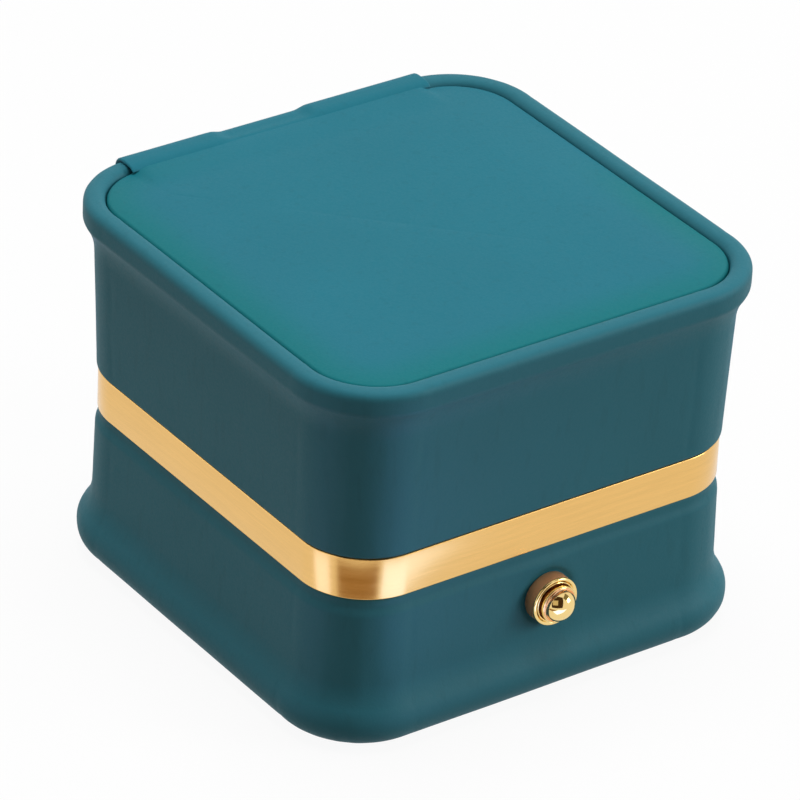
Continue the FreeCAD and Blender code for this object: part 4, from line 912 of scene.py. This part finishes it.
def paint_edge_light(mesh, walls, half):
    """Point attribute of painted greenish light: it grows to 1 at the pad's edge and fades towards
    the back.
    """
    axis = walls.band_half - walls.corner
    edge_light = mesh.attributes.new("edge_near", "FLOAT", "POINT")
    # how strong the painted greenish light is at each point
    values = []
    for vertex in mesh.vertices:
        x, y = vertex.co.xy
        out = math.hypot(max(abs(x) - axis, 0.0), max(abs(y) - axis, 0.0))
        inward = half - axis - out if out else half - max(abs(x), abs(y))
        towards_back = smooth_step(x * GREEN_LIGHT_WAY[0] + y * GREEN_LIGHT_WAY[1], *GREEN_LIGHT_FADE)
        values.append((1 - smooth_step(inward, 0.0, GREEN_LIGHT_WIDE)) * (1 - towards_back))
    edge_light.data.foreach_set("value", values)


def make_top_pad(walls):
    """Leather pad glued on its board inside the rim, drawn up at the back to meet the strap."""
    low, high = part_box("top_panel_pad")
    half = high.x + 0.12 * MM
    edge_top = RIM_TOP - PAD_BELOW_RIM
    levels = [(FOOT_INSET, low.z), (0.0, low.z + 0.4 * MM), (0.0, edge_top - PAD_SIDE)]
    levels += [(PAD_ROUNDING - inwards, edge_top - under)
               for inwards, under in rounded(PAD_ROUNDING, 90, 0, 7)]
    levels += [(inset, edge_top + PAD_RISE * (1 - math.exp((PAD_ROUNDING - inset) / PAD_RISE_OVER)))
               for inset in np.linspace(PAD_ROUNDING, half - PAD_MIDDLE, PAD_RINGS)[1:]]
    form = stacked("top_pad_form", (-half, -half), (half, half),
                   walls.corner - walls.band_half + half, levels,
                   PAD_CORNER_STEPS, PAD_SIDE_STEPS)
    for vertex in form.data.vertices:
        x, y, z = vertex.co
        if z > edge_top - 0.6 * MM:
            lift = (PAD_LIFT - (z - edge_top)) * smooth_step(y, *PAD_LIFT_BACK)
            vertex.co.z += max(lift * (1 - smooth_step(abs(x), *PAD_LIFT_SIDE)), 0.0)

    def glued(place):
        return place.z < edge_top - 0.1 * MM or max(abs(place.x), abs(place.y)) > half - PAD_GLUED

    pad = stuffed(form, "top_pad", finish("leather"), glued, PAD_SWELL, rounds=PAD_EASING)
    paint_edge_light(pad.data, walls, high.x)
    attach(pad, "lid")
    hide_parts("top_panel_pad")


def make_cushion(name, node, body, corner, rounding, upside_down):
    """Velour cushion in its node's place, glued on its flat side and crowned on the other."""
    low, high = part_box(node)
    swell = CUSHION_SWELL
    flat, crown = (high.z, low.z + swell) if upside_down else (low.z, high.z - swell)
    side = -1 if upside_down else 1
    levels = [(FOOT_INSET, flat), (0.0, flat + side * 0.5 * MM)]
    levels += [(rounding - inwards, crown - side * under)
               for inwards, under in rounded(rounding, 90, 0, 6)]
    form = stacked(f"{name}_form", (low.x + swell, low.y + swell),
                   (high.x - swell, high.y - swell), corner, levels)
    cushion = stuffed(form, name, finish("velour"),
                      lambda place: abs(place.z - flat) < CUSHION_GLUED, swell, CUSHION_VOXEL)
    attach(cushion, body)
    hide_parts(node)


# ------------------------------------------------------------------ hinge strap

STRAP_HALF_THICK, STRAP_AWAY, STRAP_ROUND = 0.25 * MM, 0.27 * MM, 0.30 * MM
STRAP_ROWS, STRAP_COLUMNS = 118, 104
SKIVE_LONG, SKIVE_SHARE = 1.6 * MM, 0.5
HUMP_OUT, HUMP_HALF, HUMP_FOOT = 1.3 * MM, 2.0 * MM, 3.3 * MM
STRAP_WAVE, HINGE_CREASE, HINGE_CREASE_HALF = 0.045 * MM, 0.05 * MM, 3.2 * MM
STRAP_SCALE, HINGE_CREASE_SCALE = (90, 90, 90), (60, 0, 700)
STRAP_SPACING, STRAP_EASING = 0.35 * MM, 26
# The strap's end on the pad: (y, how far below the crest)
CREST_END, STRAP_TAIL = 29.75 * MM, ((29.3, 0.05), (28.95, 0.20), (28.6, 0.42))


def strap_line(walls):
    """Middle line of the strap in (y, z), from its lower end over the hinge and rim to the pad."""
    base, lid = base_wall(walls), lid_wall(walls)
    low_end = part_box("hinge_strap")[0].z
    hump = HINGE.y + HUMP_OUT
    low, high = HINGE.z - HUMP_HALF, HINGE.z + HUMP_HALF
    foot, head = low - HUMP_FOOT, high + HUMP_FOOT
    rough = [(base.across(-STRAP_AWAY, low_end), low_end), (base.across(-STRAP_AWAY, foot), foot),
             (hump, low), (hump, high), (lid.across(-STRAP_AWAY, head), head)]
    points = []
    for start, end in zip(rough, rough[1:]):
        points += line(start, end, max(4, int(math.dist(start, end) / STRAP_SPACING)))[:-1]
    points = np.array(points)
    for _ in range(STRAP_EASING):
        points[1:-1] = points[1:-1] * 0.5 + (points[:-2] + points[2:]) * 0.25
    upper = lid.profile(-STRAP_AWAY, head, 26)
    upper += squared_arc((lid.centre[0], RIM_TOP - walls.rim_bead), walls.rim_bead + STRAP_AWAY,
                         0, 90, 30)
    crest = upper[-1][1]
    upper += line(upper[-1], (CREST_END, crest), 5)[1:]
    upper += [(back * MM, crest - under * MM) for back, under in STRAP_TAIL]
    return [tuple(point) for point in points] + upper


def evenly(total, count, start=0.0):
    """Distances from start to start + total, closer together over the rounded ends."""
    ends = STRAP_ROUND * (1 - np.cos(np.linspace(0, math.pi / 2, 6)))[:-1]
    middle = np.linspace(start + STRAP_ROUND, start + total - STRAP_ROUND, count)
    return np.concatenate([start + ends, middle, start + total - ends[::-1]])


def thinning(distance):
    """Share of the thickness left at a distance from a rounded edge."""
    share = np.clip(distance / STRAP_ROUND, 0, 1)
    return np.sqrt(np.clip(1 - (1 - share) ** 2, 0, 1))


def strip_faces(rows, columns):
    """Faces of a strip's two sides, row by row. A face at a corner is cut in two through that
    corner, so that no edge inside it is shared with the other side's face."""
    faces = []
    for side in range(2):
        for i in range(rows - 1):
            for j in range(columns - 1):
                a = (side * rows + i) * columns + j
                b, c, d = a + 1, a + columns + 1, a + columns
                if i not in (0, rows - 2) or j not in (0, columns - 2):
                    faces.append((a, b, c, d))
                elif (i == 0) == (j == 0):
                    faces += [(a, b, c), (a, c, d)]
                else:
                    faces += [(a, b, d), (b, c, d)]
    return faces


def make_strap(walls):
    """One strip of leather from the pad over the rim and the hinge down to the base."""
    rough = np.array(strap_line(walls))
    steps = np.concatenate([[0], np.cumsum(np.linalg.norm(np.diff(rough, axis=0), axis=1))])
    total = steps[-1]
    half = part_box("hinge_strap")[1].x
    along, across = evenly(total, STRAP_ROWS), evenly(2 * half, STRAP_COLUMNS, -half)
    middle = np.stack([np.interp(along, steps, rough[:, i]) for i in (0, 1)], 1)
    lean = np.gradient(middle, along, axis=0)
    lean /= np.linalg.norm(lean, axis=1, keepdims=True)
    outwards = np.stack([lean[:, 1], -lean[:, 0]], 1)
    skived = 1 - SKIVE_SHARE * np.clip((along - total + SKIVE_LONG) / SKIVE_LONG, 0, 1)
    thin_along = thinning(np.minimum(along, total - along)) * skived
    thin_across = thinning(half - np.abs(across))
    corners = []
    for side in (1, -1):
        for i, (y, z) in enumerate(middle):
            for j, x in enumerate(across):
                thick = STRAP_HALF_THICK * thin_along[i] * thin_across[j]
                wave = drawn_noise(x, y, z, STRAP_SCALE) * STRAP_WAVE
                crease = drawn_noise(x, 0.0, z, HINGE_CREASE_SCALE, 3) * HINGE_CREASE
                crease *= bell(z - HINGE.z, HINGE_CREASE_HALF)
                move = side * thick + max(wave, 0) + max(crease, 0)
                py, pz = y + outwards[i][0] * move, z + outwards[i][1] * move
                corners.append((x, py, pz - finger_dip(x, py, pz)))
    mesh = mesh_from("hinge_leather", corners, strip_faces(len(middle), len(across)))
    face_outwards(mesh, 2 * MICRON)
    strap = placed("hinge_leather", mesh, finish("strap"))
    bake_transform(strap)
    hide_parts("hinge_strap")


# ------------------------------------------------------------------ button, rivets, screws

DOME_RISE, DOME_RADIUS, DISH_SUNK = 1.75 * MM, 2.22 * MM, 0.04 * MM
FILLET_BEFORE, FILLET_PULL = 15, (0.05 * MM, 0.06 * MM)  # degrees before the dome's full width
COLLAR_LIP, COLLAR_THICK, STEM_RADIUS = 0.10 * MM, 0.6 * MM, 1.1 * MM
BEZEL_RIM, BEZEL_THROAT = 0.27 * MM, 2.51 * MM
BEZEL_BORE, BEZEL_SLEEVE, BEZEL_HOLE = 2.65 * MM, 2.6 * MM, 1.15 * MM
BEZEL_FLOOR, BEAD_BACK, BEAD_WIDE, BEAD_RISE = 0.55 * MM, 0.16 * MM, 0.06 * MM, 0.05 * MM
TURNED_STEPS, HEAD_STEPS = 128, 40
RIVET_RISE, RIVET_SHANK, SCREW_RISE, SCREW_SHANK = 0.25 * MM, 0.7 * MM, 0.45 * MM, 0.5 * MM
SCREW_CROWN, CROSS_DEEP, CROSS_LONG, CROSS_WIDE = 0.16 * MM, 0.26 * MM, 0.62, 0.13


def recoat(thing, name, chosen):
    """Give a second finish to the faces that are chosen by their centre."""
    thing.data.materials.append(finish(name))
    for face in thing.data.polygons:
        face.material_index = int(chosen(face.center))


def make_button():
    """Polished dome in a dished collar, with the stem behind it."""
    low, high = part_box("push_button")
    tip, back, reach = low.y, high.y, high.x
    front = tip + DOME_RISE
    ball = (DOME_RADIUS ** 2 + DOME_RISE ** 2) / (2 * DOME_RISE)
    leave = math.degrees(math.asin(DOME_RADIUS / ball)) - FILLET_BEFORE
    dome = rounded(ball, 0, leave, 40, 0.0, tip)
    dish_radius = reach - 2 * COLLAR_LIP
    start, end = Vector(dome[-1]), Vector((dish_radius, front + DISH_SUNK))
    pull = Vector((start.x + FILLET_PULL[0], end.y - FILLET_PULL[1]))
    fillet = [tuple(start * (1 - t) ** 2 + pull * 2 * t * (1 - t) + end * t * t)
              for t in np.linspace(0, 1, 12)[1:]]
    rolled = rounded(COLLAR_LIP, -50, 90, 13, reach - COLLAR_LIP, front - 0.02 * MM)
    collar_back = front + COLLAR_THICK
    shank = [(reach, collar_back), (STEM_RADIUS, collar_back), (STEM_RADIUS, back), (0.0, back)]
    button = lathed("gold_button", dome + fillet + rolled + shank, TURNED_STEPS, (0, BUTTON_UP),
                    finish("button"))
    # the dish ring gets a redder gold: painted gold-in-gold reflection
    recoat(button, "dish", lambda place: place.y < front + 0.1 * MM and
           start.x < math.hypot(place.x, place.z - BUTTON_UP) < dish_radius + 0.02 * MM)
    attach(button, "button")
    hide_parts("push_button")


def make_bezel(walls):
    """Turned cup with a satin side, a polished rolled rim and a stepped throat."""
    low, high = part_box("button_bezel")
    front, end, reach = low.y, high.y, high.x
    seat = -walls.band_half - walls.base_reach
    floor = seat - BEZEL_FLOOR
    profile = [(BEZEL_HOLE, end), (BEZEL_HOLE, floor), (BEZEL_BORE, floor),
               (BEZEL_BORE, front + 0.60 * MM), (BEZEL_THROAT, front + 0.50 * MM),
               (BEZEL_THROAT, front + BEAD_BACK)]
    profile += [(BEZEL_THROAT + (1 - math.cos(t)) * BEAD_WIDE,
                 front + BEAD_BACK - math.sin(t) * BEAD_RISE)
                for t in np.radians((30, 60, 90, 130, 170))]
    profile += [(BEZEL_THROAT + 0.16 * MM, front + 0.145 * MM),
                (BEZEL_THROAT + 0.26 * MM, front + 0.07 * MM)]
    profile += rounded(BEZEL_RIM, -35, 90, 20, reach - BEZEL_RIM, front)
    side, side_front = reach - 0.05 * MM, front + BEZEL_RIM + 0.08 * MM
    profile += [(reach, side_front - 0.05 * MM), (side, side_front), (side, seat),
                (BEZEL_SLEEVE, seat), (BEZEL_SLEEVE, end), (BEZEL_HOLE, end)]
    bezel = lathed("bezel_cup", profile, TURNED_STEPS, (0, BUTTON_UP), finish("bezel"))
    face_outwards(bezel.data, 0.1 * MICRON)
    recoat(bezel, "button", lambda place: place.y < side_front - 0.01 * MM)
    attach(bezel, "base")
    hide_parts("button_bezel")


def head_row(nodes, entry):
    """One head repeated along a row."""
    head = nodes.add("GeometryNodeObjectInfo", {"Object": entry["Head"]})
    row = nodes.add("GeometryNodeMeshLine", {"Count": entry["Count"],
                                             "Start Location": entry["Start"],
                                             "Offset": entry["Pitch"]}, mode="OFFSET")
    return nodes.add("GeometryNodeInstanceOnPoints",
                     {"Points": row.outputs[0], "Instance": head.outputs["Geometry"]}).outputs[0]


def fastener_row(name, head, count, start, pitch, body, node):
    mesh = grown(name, "Fastener row", {
        "Head": ("NodeSocketObject", head), "Count": ("NodeSocketInt", count),
        "Start": ("NodeSocketVector", start), "Pitch": ("NodeSocketVector", (pitch, 0.0, 0.0)),
        "Finish": ("NodeSocketMaterial", finish("steel"))}, head_row)
    bpy.data.objects.remove(head)
    row = placed(name, mesh, finish("steel"))
    for face in row.data.polygons:
        face.use_smooth = len(face.vertices) < 5
    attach(row, body)
    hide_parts(node)


def make_rivets(node, name, body):
    low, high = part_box(node)
    reach, depth = (high.z - low.z) / 2, low.y - high.y
    rise, shank = RIVET_RISE, RIVET_SHANK
    dome = [(reach * math.sin(t), -rise * (1 - math.cos(t)))
            for t in np.radians(np.linspace(0, 86, 9))]
    head = lathed("rivet", dome + [(reach, -rise), (shank, -rise), (shank, depth), (0, depth)],
                  HEAD_STEPS, (0, 0), None)
    start = (low.x + reach, high.y, (low.z + high.z) / 2)
    fastener_row(name, head, 3, start, (high.x - low.x) / 2 - reach, body, node)


def make_screws(node, name, body):
    low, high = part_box(node)
    reach, depth = (high.z - low.z) / 2, low.y - high.y
    rise, shank = SCREW_RISE, SCREW_SHANK
    crown = [(reach * (0.80 + 0.20 * math.sin(t)), -SCREW_CROWN * (1 - math.cos(t)))
             for t in np.radians(np.linspace(0, 90, 6))]
    head = lathed("screw", [(0, 0)] + crown + [(reach, -rise), (shank, -rise), (shank, depth),
                                               (0, depth)], HEAD_STEPS, (0, 0), None)
    long, wide = reach * CROSS_LONG, reach * CROSS_WIDE
    head = carve(head, [box_shape((-x, -CROSS_DEEP, -z), (x, MM, z))
                        for x, z in ((long, wide), (wide, long))])
    start = (low.x + reach, high.y, (low.z + high.z) / 2)
    fastener_row(name, head, 2, start, high.x - low.x - 2 * reach, body, node)


def make_catch_spring():
    """Spring leaf with its nose, held by its screws: the imported part's shape in steel, with sharp
    creases.
    """
    mesh = frame["nodes"]["catch_spring"].data.copy()
    mesh.name = "catch_leaf"
    spring = placed("catch_leaf", mesh, finish("steel"))
    face_outwards(mesh, 0.1 * MICRON)
    mesh.set_sharp_from_angle(angle=math.radians(30))
    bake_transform(spring)
    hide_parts("catch_spring")


# ------------------------------------------------------------------ stage

WHITE = (1, 1, 1, 1)
FLOOR_REACH, FLOOR_UP = 3.0, -0.0001
FLOOR_TINT, FLOOR_LIT, FLOOR_WHITE = (0.20, 0.185, 0.155, 1), (0.9, 0.9, 0.9, 1), 0.93
LAMP_AIM = Vector((0, 0, 0.03))
# Lamps: place and size in metres, the panel's power, and whether metal mirrors it
LAMPS = {"overhead_lamp": ((0.05, 0.12, 1.25), 0.7, "key_power", False),
         "right_lamp": ((0.95, -0.85, 0.50), 0.5, "right_power", True),
         "left_lamp": ((-1.00, 0.75, 0.45), 0.5, "left_power", True)}
CARD_HEADING = 233.5

# Cards for the band: start and end are the compass angles of the corner's surface that
# mirror the card towards CARD_HEADING; then tint and strength.
BAND_CARDS = (("dark", 215.0, 246.5, (0.42, 0.27, 0.14), 0.9),
              ("light_one", 195.5, 208.5, (0.56, 0.63, 1.0), 2.7),
              ("light_two", 249.5, 271.0, (0.42, 0.535, 1.0), 3.7))
# Cards for the button: name, heading and rise in degrees, distance, half width, half height
# and shift aside in metres, tint, strength.
AIR_CARDS = (
    ("dark_view_card", CARD_HEADING, 31, 0.42, 0.30, 0.34, 0.03, (0.10, 0.06, 0.03), 0.6),
    ("light_view_card", CARD_HEADING, 31, 0.38, 0.11, 0.10, -0.07, (0.9, 0.8, 0.6), 0.75),
    ("right_room_card", 322, 40, 0.5, 0.16, 0.11, 0.0, (0.40, 0.36, 0.22), 0.6),
    ("left_room_card", 150, 30, 0.5, 0.14, 0.11, 0.0, (0.40, 0.36, 0.22), 0.6))

CAMERA_ANGLES = (-36.5238, 30.8318, 2.9869)
CAMERA_AIM, CAMERA_AWAY = Vector((0, 0, 28.69 * MM)), 731.5594 * MM
CAMERA_LEFT, CAMERA_DOWN = 1.0542 * MM, 2.9116 * MM


def compass(degrees):
    return Vector((math.cos(math.radians(degrees)), math.sin(math.radians(degrees)), 0.0))


def bare_material(name):
    """A material with no nodes yet."""
    mat = bpy.data.materials.new(name)
    mat.use_nodes = True
    mat.node_tree.nodes.clear()
    return mat, Nodes(mat.node_tree)


def make_floor():
    """Pale floor that shows as nearly white, keeps the object's shadow and throws dim light."""
    corners = [(x * FLOOR_REACH, y * FLOOR_REACH, FLOOR_UP)
               for x, y in ((-1, -1), (1, -1), (1, 1), (-1, 1))]
    floor = placed("floor", mesh_from("floor", corners, [(0, 1, 2, 3)]), None)
    mat, nodes = bare_material("pale_floor")
    paper = nodes.add("ShaderNodeBsdfDiffuse", {"Color": FLOOR_TINT})
    lit = nodes.add("ShaderNodeBsdfDiffuse", {"Color": FLOOR_LIT})
    white = nodes.add("ShaderNodeEmission", {"Color": WHITE, "Strength": 1.0})
    seen = nodes.add("ShaderNodeMixShader", {"Fac": FLOOR_WHITE, "Shader": lit.outputs[0],
                                             "Shader_001": white.outputs[0]})
    nodes.add("ShaderNodeOutputMaterial", {"Surface": nodes.by_ray(paper, seen)})
    floor.data.materials.append(mat)


def make_world(ambient):
    world = bpy.data.worlds.new("studio")
    bpy.context.scene.world = world
    world.use_nodes = True
    nodes = Nodes(world.node_tree)
    world.node_tree.nodes.clear()
    even, white = (nodes.add("ShaderNodeBackground", {"Color": WHITE, "Strength": strength})
                   for strength in (ambient, 1.0))
    nodes.add("ShaderNodeOutputWorld", {"Surface": nodes.by_ray(even, white)})


def lamp(name, place, size, power, mirrored):
    light = bpy.data.lights.new(name, "AREA")
    light.shape = "SQUARE"
    light.size = size
    light.energy = power
    thing = bpy.data.objects.new(name, light)
    bpy.context.scene.collection.objects.link(thing)
    thing.location = place
    thing.rotation_euler = (LAMP_AIM - Vector(place)).to_track_quat("-Z", "Y").to_euler()
    thing.visible_glossy = mirrored


def card(name, corners, tint, strength):
    """A card that only shiny surfaces see, as a light or dark shape beside the box."""
    panel = placed(name, mesh_from(name, corners, [(0, 1, 2, 3)]), None)
    mat, nodes = bare_material(f"{name}_face")
    glow = nodes.add("ShaderNodeEmission", {"Color": tint + (1.0,), "Strength": strength})
    nodes.add("ShaderNodeOutputMaterial", {"Surface": glow.outputs[0]})
    panel.data.materials.append(mat)
    panel.visible_camera = panel.visible_diffuse = panel.visible_shadow = False
    panel.visible_transmission = panel.visible_volume_scatter = False


def make_band_cards(walls):
    """Dark card and two light strips on the floor before two opposite corners of the band."""
    axis = walls.band_half - walls.corner
    for corner in range(2):
        spin = Matrix.Rotation(math.pi * corner, 4, "Z")
        for name, start, end, tint, strength in BAND_CARDS:
            ends = []
            for normal, reach in ((start, 20), (end, 20), (end, 64), (start, 64)):
                foot = Vector((-axis, -axis, 0.4 * MM)) + walls.corner * compass(normal)
                ends.append(spin @ (foot + compass(2 * normal - CARD_HEADING) * reach * MM))
            card(f"{name}_card_{corner}", ends, tint, strength)


def make_air_cards():
    """Dim and light cards in the air, for the polished button to mirror."""
    for name, heading, rise, reach, wide, tall, across, tint, strength in AIR_CARDS:
        rise = math.radians(rise)
        ahead = compass(heading) * math.cos(rise) + Vector((0, 0, math.sin(rise)))
        aside = compass(heading + 90)
        over = ahead.cross(aside)
        middle = Vector((0, -34 * MM, BUTTON_UP)) + ahead * reach + aside * across
        card(name, [middle + aside * (i * wide) + over * (j * tall)
                    for i, j in ((-1, -1), (1, -1), (1, 1), (-1, 1))], tint, strength)


def make_camera(lens):
    view = bpy.data.cameras.new("view")
    view.lens = lens
    view.sensor_width = 36.0
    view.clip_start = 0.01
    camera = bpy.data.objects.new("view", view)
    bpy.context.scene.collection.objects.link(camera)
    turn, tilt, roll = (math.radians(value) for value in CAMERA_ANGLES)
    back = Vector((math.sin(turn) * math.cos(tilt), -math.cos(turn) * math.cos(tilt),
                   math.sin(tilt)))
    right = Vector((math.cos(turn), math.sin(turn), 0))
    up = back.cross(right)
    leaned = right * math.cos(roll) + up * math.sin(roll)
    upright = up * math.cos(roll) - right * math.sin(roll)
    pose = Matrix((leaned, upright, back)).transposed().to_4x4()
    pose.translation = CAMERA_AIM + (back * CAMERA_AWAY - leaned * CAMERA_LEFT
                                     - upright * CAMERA_DOWN)
    camera.matrix_world = pose
    bpy.context.scene.camera = camera


# ------------------------------------------------------------------ operators

class RINGBOX_OT_stage(bpy.types.Operator):
    """Put up the floor, the lamps and the camera"""
    bl_idname = "ringbox.stage"
    bl_label = "Stage"

    def execute(self, context):
        context.scene.view_settings.view_transform = "Standard"
        stage = context.scene.ring_box_stage
        make_floor()
        make_world(stage.ambient)
        for name, (place, size, power, mirrored) in LAMPS.items():
            lamp(name, place, size, getattr(stage, power), mirrored)
        make_band_cards(context.scene.ring_box_walls)
        make_air_cards()
        make_camera(stage.lens)
        return {"FINISHED"}


class RINGBOX_OT_base_leather(bpy.types.Operator):
    """Wrap the base's wall and foot in leather"""
    bl_idname = "ringbox.base_leather"
    bl_label = "Base leather"

    def execute(self, context):
        make_base_cover(context.scene.ring_box_walls)
        return {"FINISHED"}


class RINGBOX_OT_lid_leather(bpy.types.Operator):
    """Wrap the lid's wall and rim in leather"""
    bl_idname = "ringbox.lid_leather"
    bl_label = "Lid leather"

    def execute(self, context):
        make_lid_cover(context.scene.ring_box_walls)
        return {"FINISHED"}


class RINGBOX_OT_band(bpy.types.Operator):
    """Bend the brushed metal band round the collar"""
    bl_idname = "ringbox.band"
    bl_label = "Metal band"

    def execute(self, context):
        make_band(context.scene.ring_box_walls)
        return {"FINISHED"}


class RINGBOX_OT_top_pad(bpy.types.Operator):
    """Stuff the leather pad set into the lid's top"""
    bl_idname = "ringbox.top_pad"
    bl_label = "Top pad"

    def execute(self, context):
        make_top_pad(context.scene.ring_box_walls)
        return {"FINISHED"}


class RINGBOX_OT_cushions(bpy.types.Operator):
    """Stuff the two ring cushions and the lid's cushion"""
    bl_idname = "ringbox.cushions"
    bl_label = "Velour cushions"

    def execute(self, context):
        for name, numbers in CUSHIONS.items():
            make_cushion(name, *numbers)
        return {"FINISHED"}


class RINGBOX_OT_strap(bpy.types.Operator):
    """Lay the leather strap over the hinge"""
    bl_idname = "ringbox.strap"
    bl_label = "Hinge strap"

    def execute(self, context):
        make_strap(context.scene.ring_box_walls)
        return {"FINISHED"}


class RINGBOX_OT_button(bpy.types.Operator):
    """Turn the push button and its bezel"""
    bl_idname = "ringbox.button"
    bl_label = "Button and bezel"

    def execute(self, context):
        make_button()
        make_bezel(context.scene.ring_box_walls)
        return {"FINISHED"}


class RINGBOX_OT_fasteners(bpy.types.Operator):
    """Set the hinge rivets and the catch screws"""
    bl_idname = "ringbox.fasteners"
    bl_label = "Rivets and screws"

    def execute(self, context):
        make_rivets("hinge_rivets_base", "base_rivets", "base")
        make_rivets("hinge_rivets_lid", "lid_rivets", "lid")
        make_screws("catch_screws", "catch_screw_pair", "base")
        make_screws("strike_screws", "strike_screw_pair", "lid")
        return {"FINISHED"}


class RINGBOX_OT_catch_spring(bpy.types.Operator):
    """Make the catch spring from the imported part"""
    bl_idname = "ringbox.catch_spring"
    bl_label = "Catch spring"

    def execute(self, context):
        make_catch_spring()
        return {"FINISHED"}


class RINGBOX_OT_plain_parts(bpy.types.Operator):
    """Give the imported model's own parts their finishes"""
    bl_idname = "ringbox.plain_parts"
    bl_label = "Finishes of the plain parts"

    PARTS = {
        "plastic": ("base_shell", "lid_shell"),
        "board": ("bottom_board", "top_panel_board"),
        "flock": ("base_liner", "lid_liner"),
        "steel": ("hinge_leaf_base", "hinge_leaf_lid", "hinge_pin", "button_nut", "button_clip",
                  "strike_plate"),
    }

    def execute(self, context):
        for name, nodes in self.PARTS.items():
            for node in nodes:
                for slot in frame["nodes"][node].material_slots:
                    slot.material = finish(name)
        return {"FINISHED"}


class RINGBOX_PT_panel(bpy.types.Panel):
    """The ring box's pieces, sizes and colours"""
    bl_label = "Ring Box"
    bl_idname = "RINGBOX_PT_panel"
    bl_space_type = "VIEW_3D"
    bl_region_type = "UI"
    bl_category = "Ring Box"

    def draw(self, context):
        for operator in OPERATORS:
            self.layout.operator(operator.bl_idname)
        for group in (context.scene.ring_box_walls, context.scene.ring_box_colours,
                      context.scene.ring_box_stage):
            column = self.layout.column(align=True)
            for name in group.__annotations__:
                column.prop(group, name)


OPERATORS = (RINGBOX_OT_stage, RINGBOX_OT_base_leather, RINGBOX_OT_lid_leather, RINGBOX_OT_band,
             RINGBOX_OT_top_pad, RINGBOX_OT_cushions, RINGBOX_OT_strap, RINGBOX_OT_button,
             RINGBOX_OT_fasteners, RINGBOX_OT_catch_spring, RINGBOX_OT_plain_parts)
GROUP_CLASSES = {"ring_box_walls": RingBoxWalls, "ring_box_colours": RingBoxColours,
                 "ring_box_stage": RingBoxStage}


def register():
    for group in GROUP_CLASSES.values():
        bpy.utils.register_class(group)
    for name, group in GROUP_CLASSES.items():
        setattr(bpy.types.Scene, name, PointerProperty(type=group))
    for operator in OPERATORS:
        bpy.utils.register_class(operator)
    bpy.utils.register_class(RINGBOX_PT_panel)


def unregister():
    bpy.utils.unregister_class(RINGBOX_PT_panel)
    for operator in reversed(OPERATORS):
        bpy.utils.unregister_class(operator)
    for name, group in GROUP_CLASSES.items():
        delattr(bpy.types.Scene, name)
        bpy.utils.unregister_class(group)


def main():
    register()
    for operator in OPERATORS:
        area, name = operator.bl_idname.split(".")
        getattr(getattr(bpy.ops, area), name)()


if __name__ == "__main__":
    main()
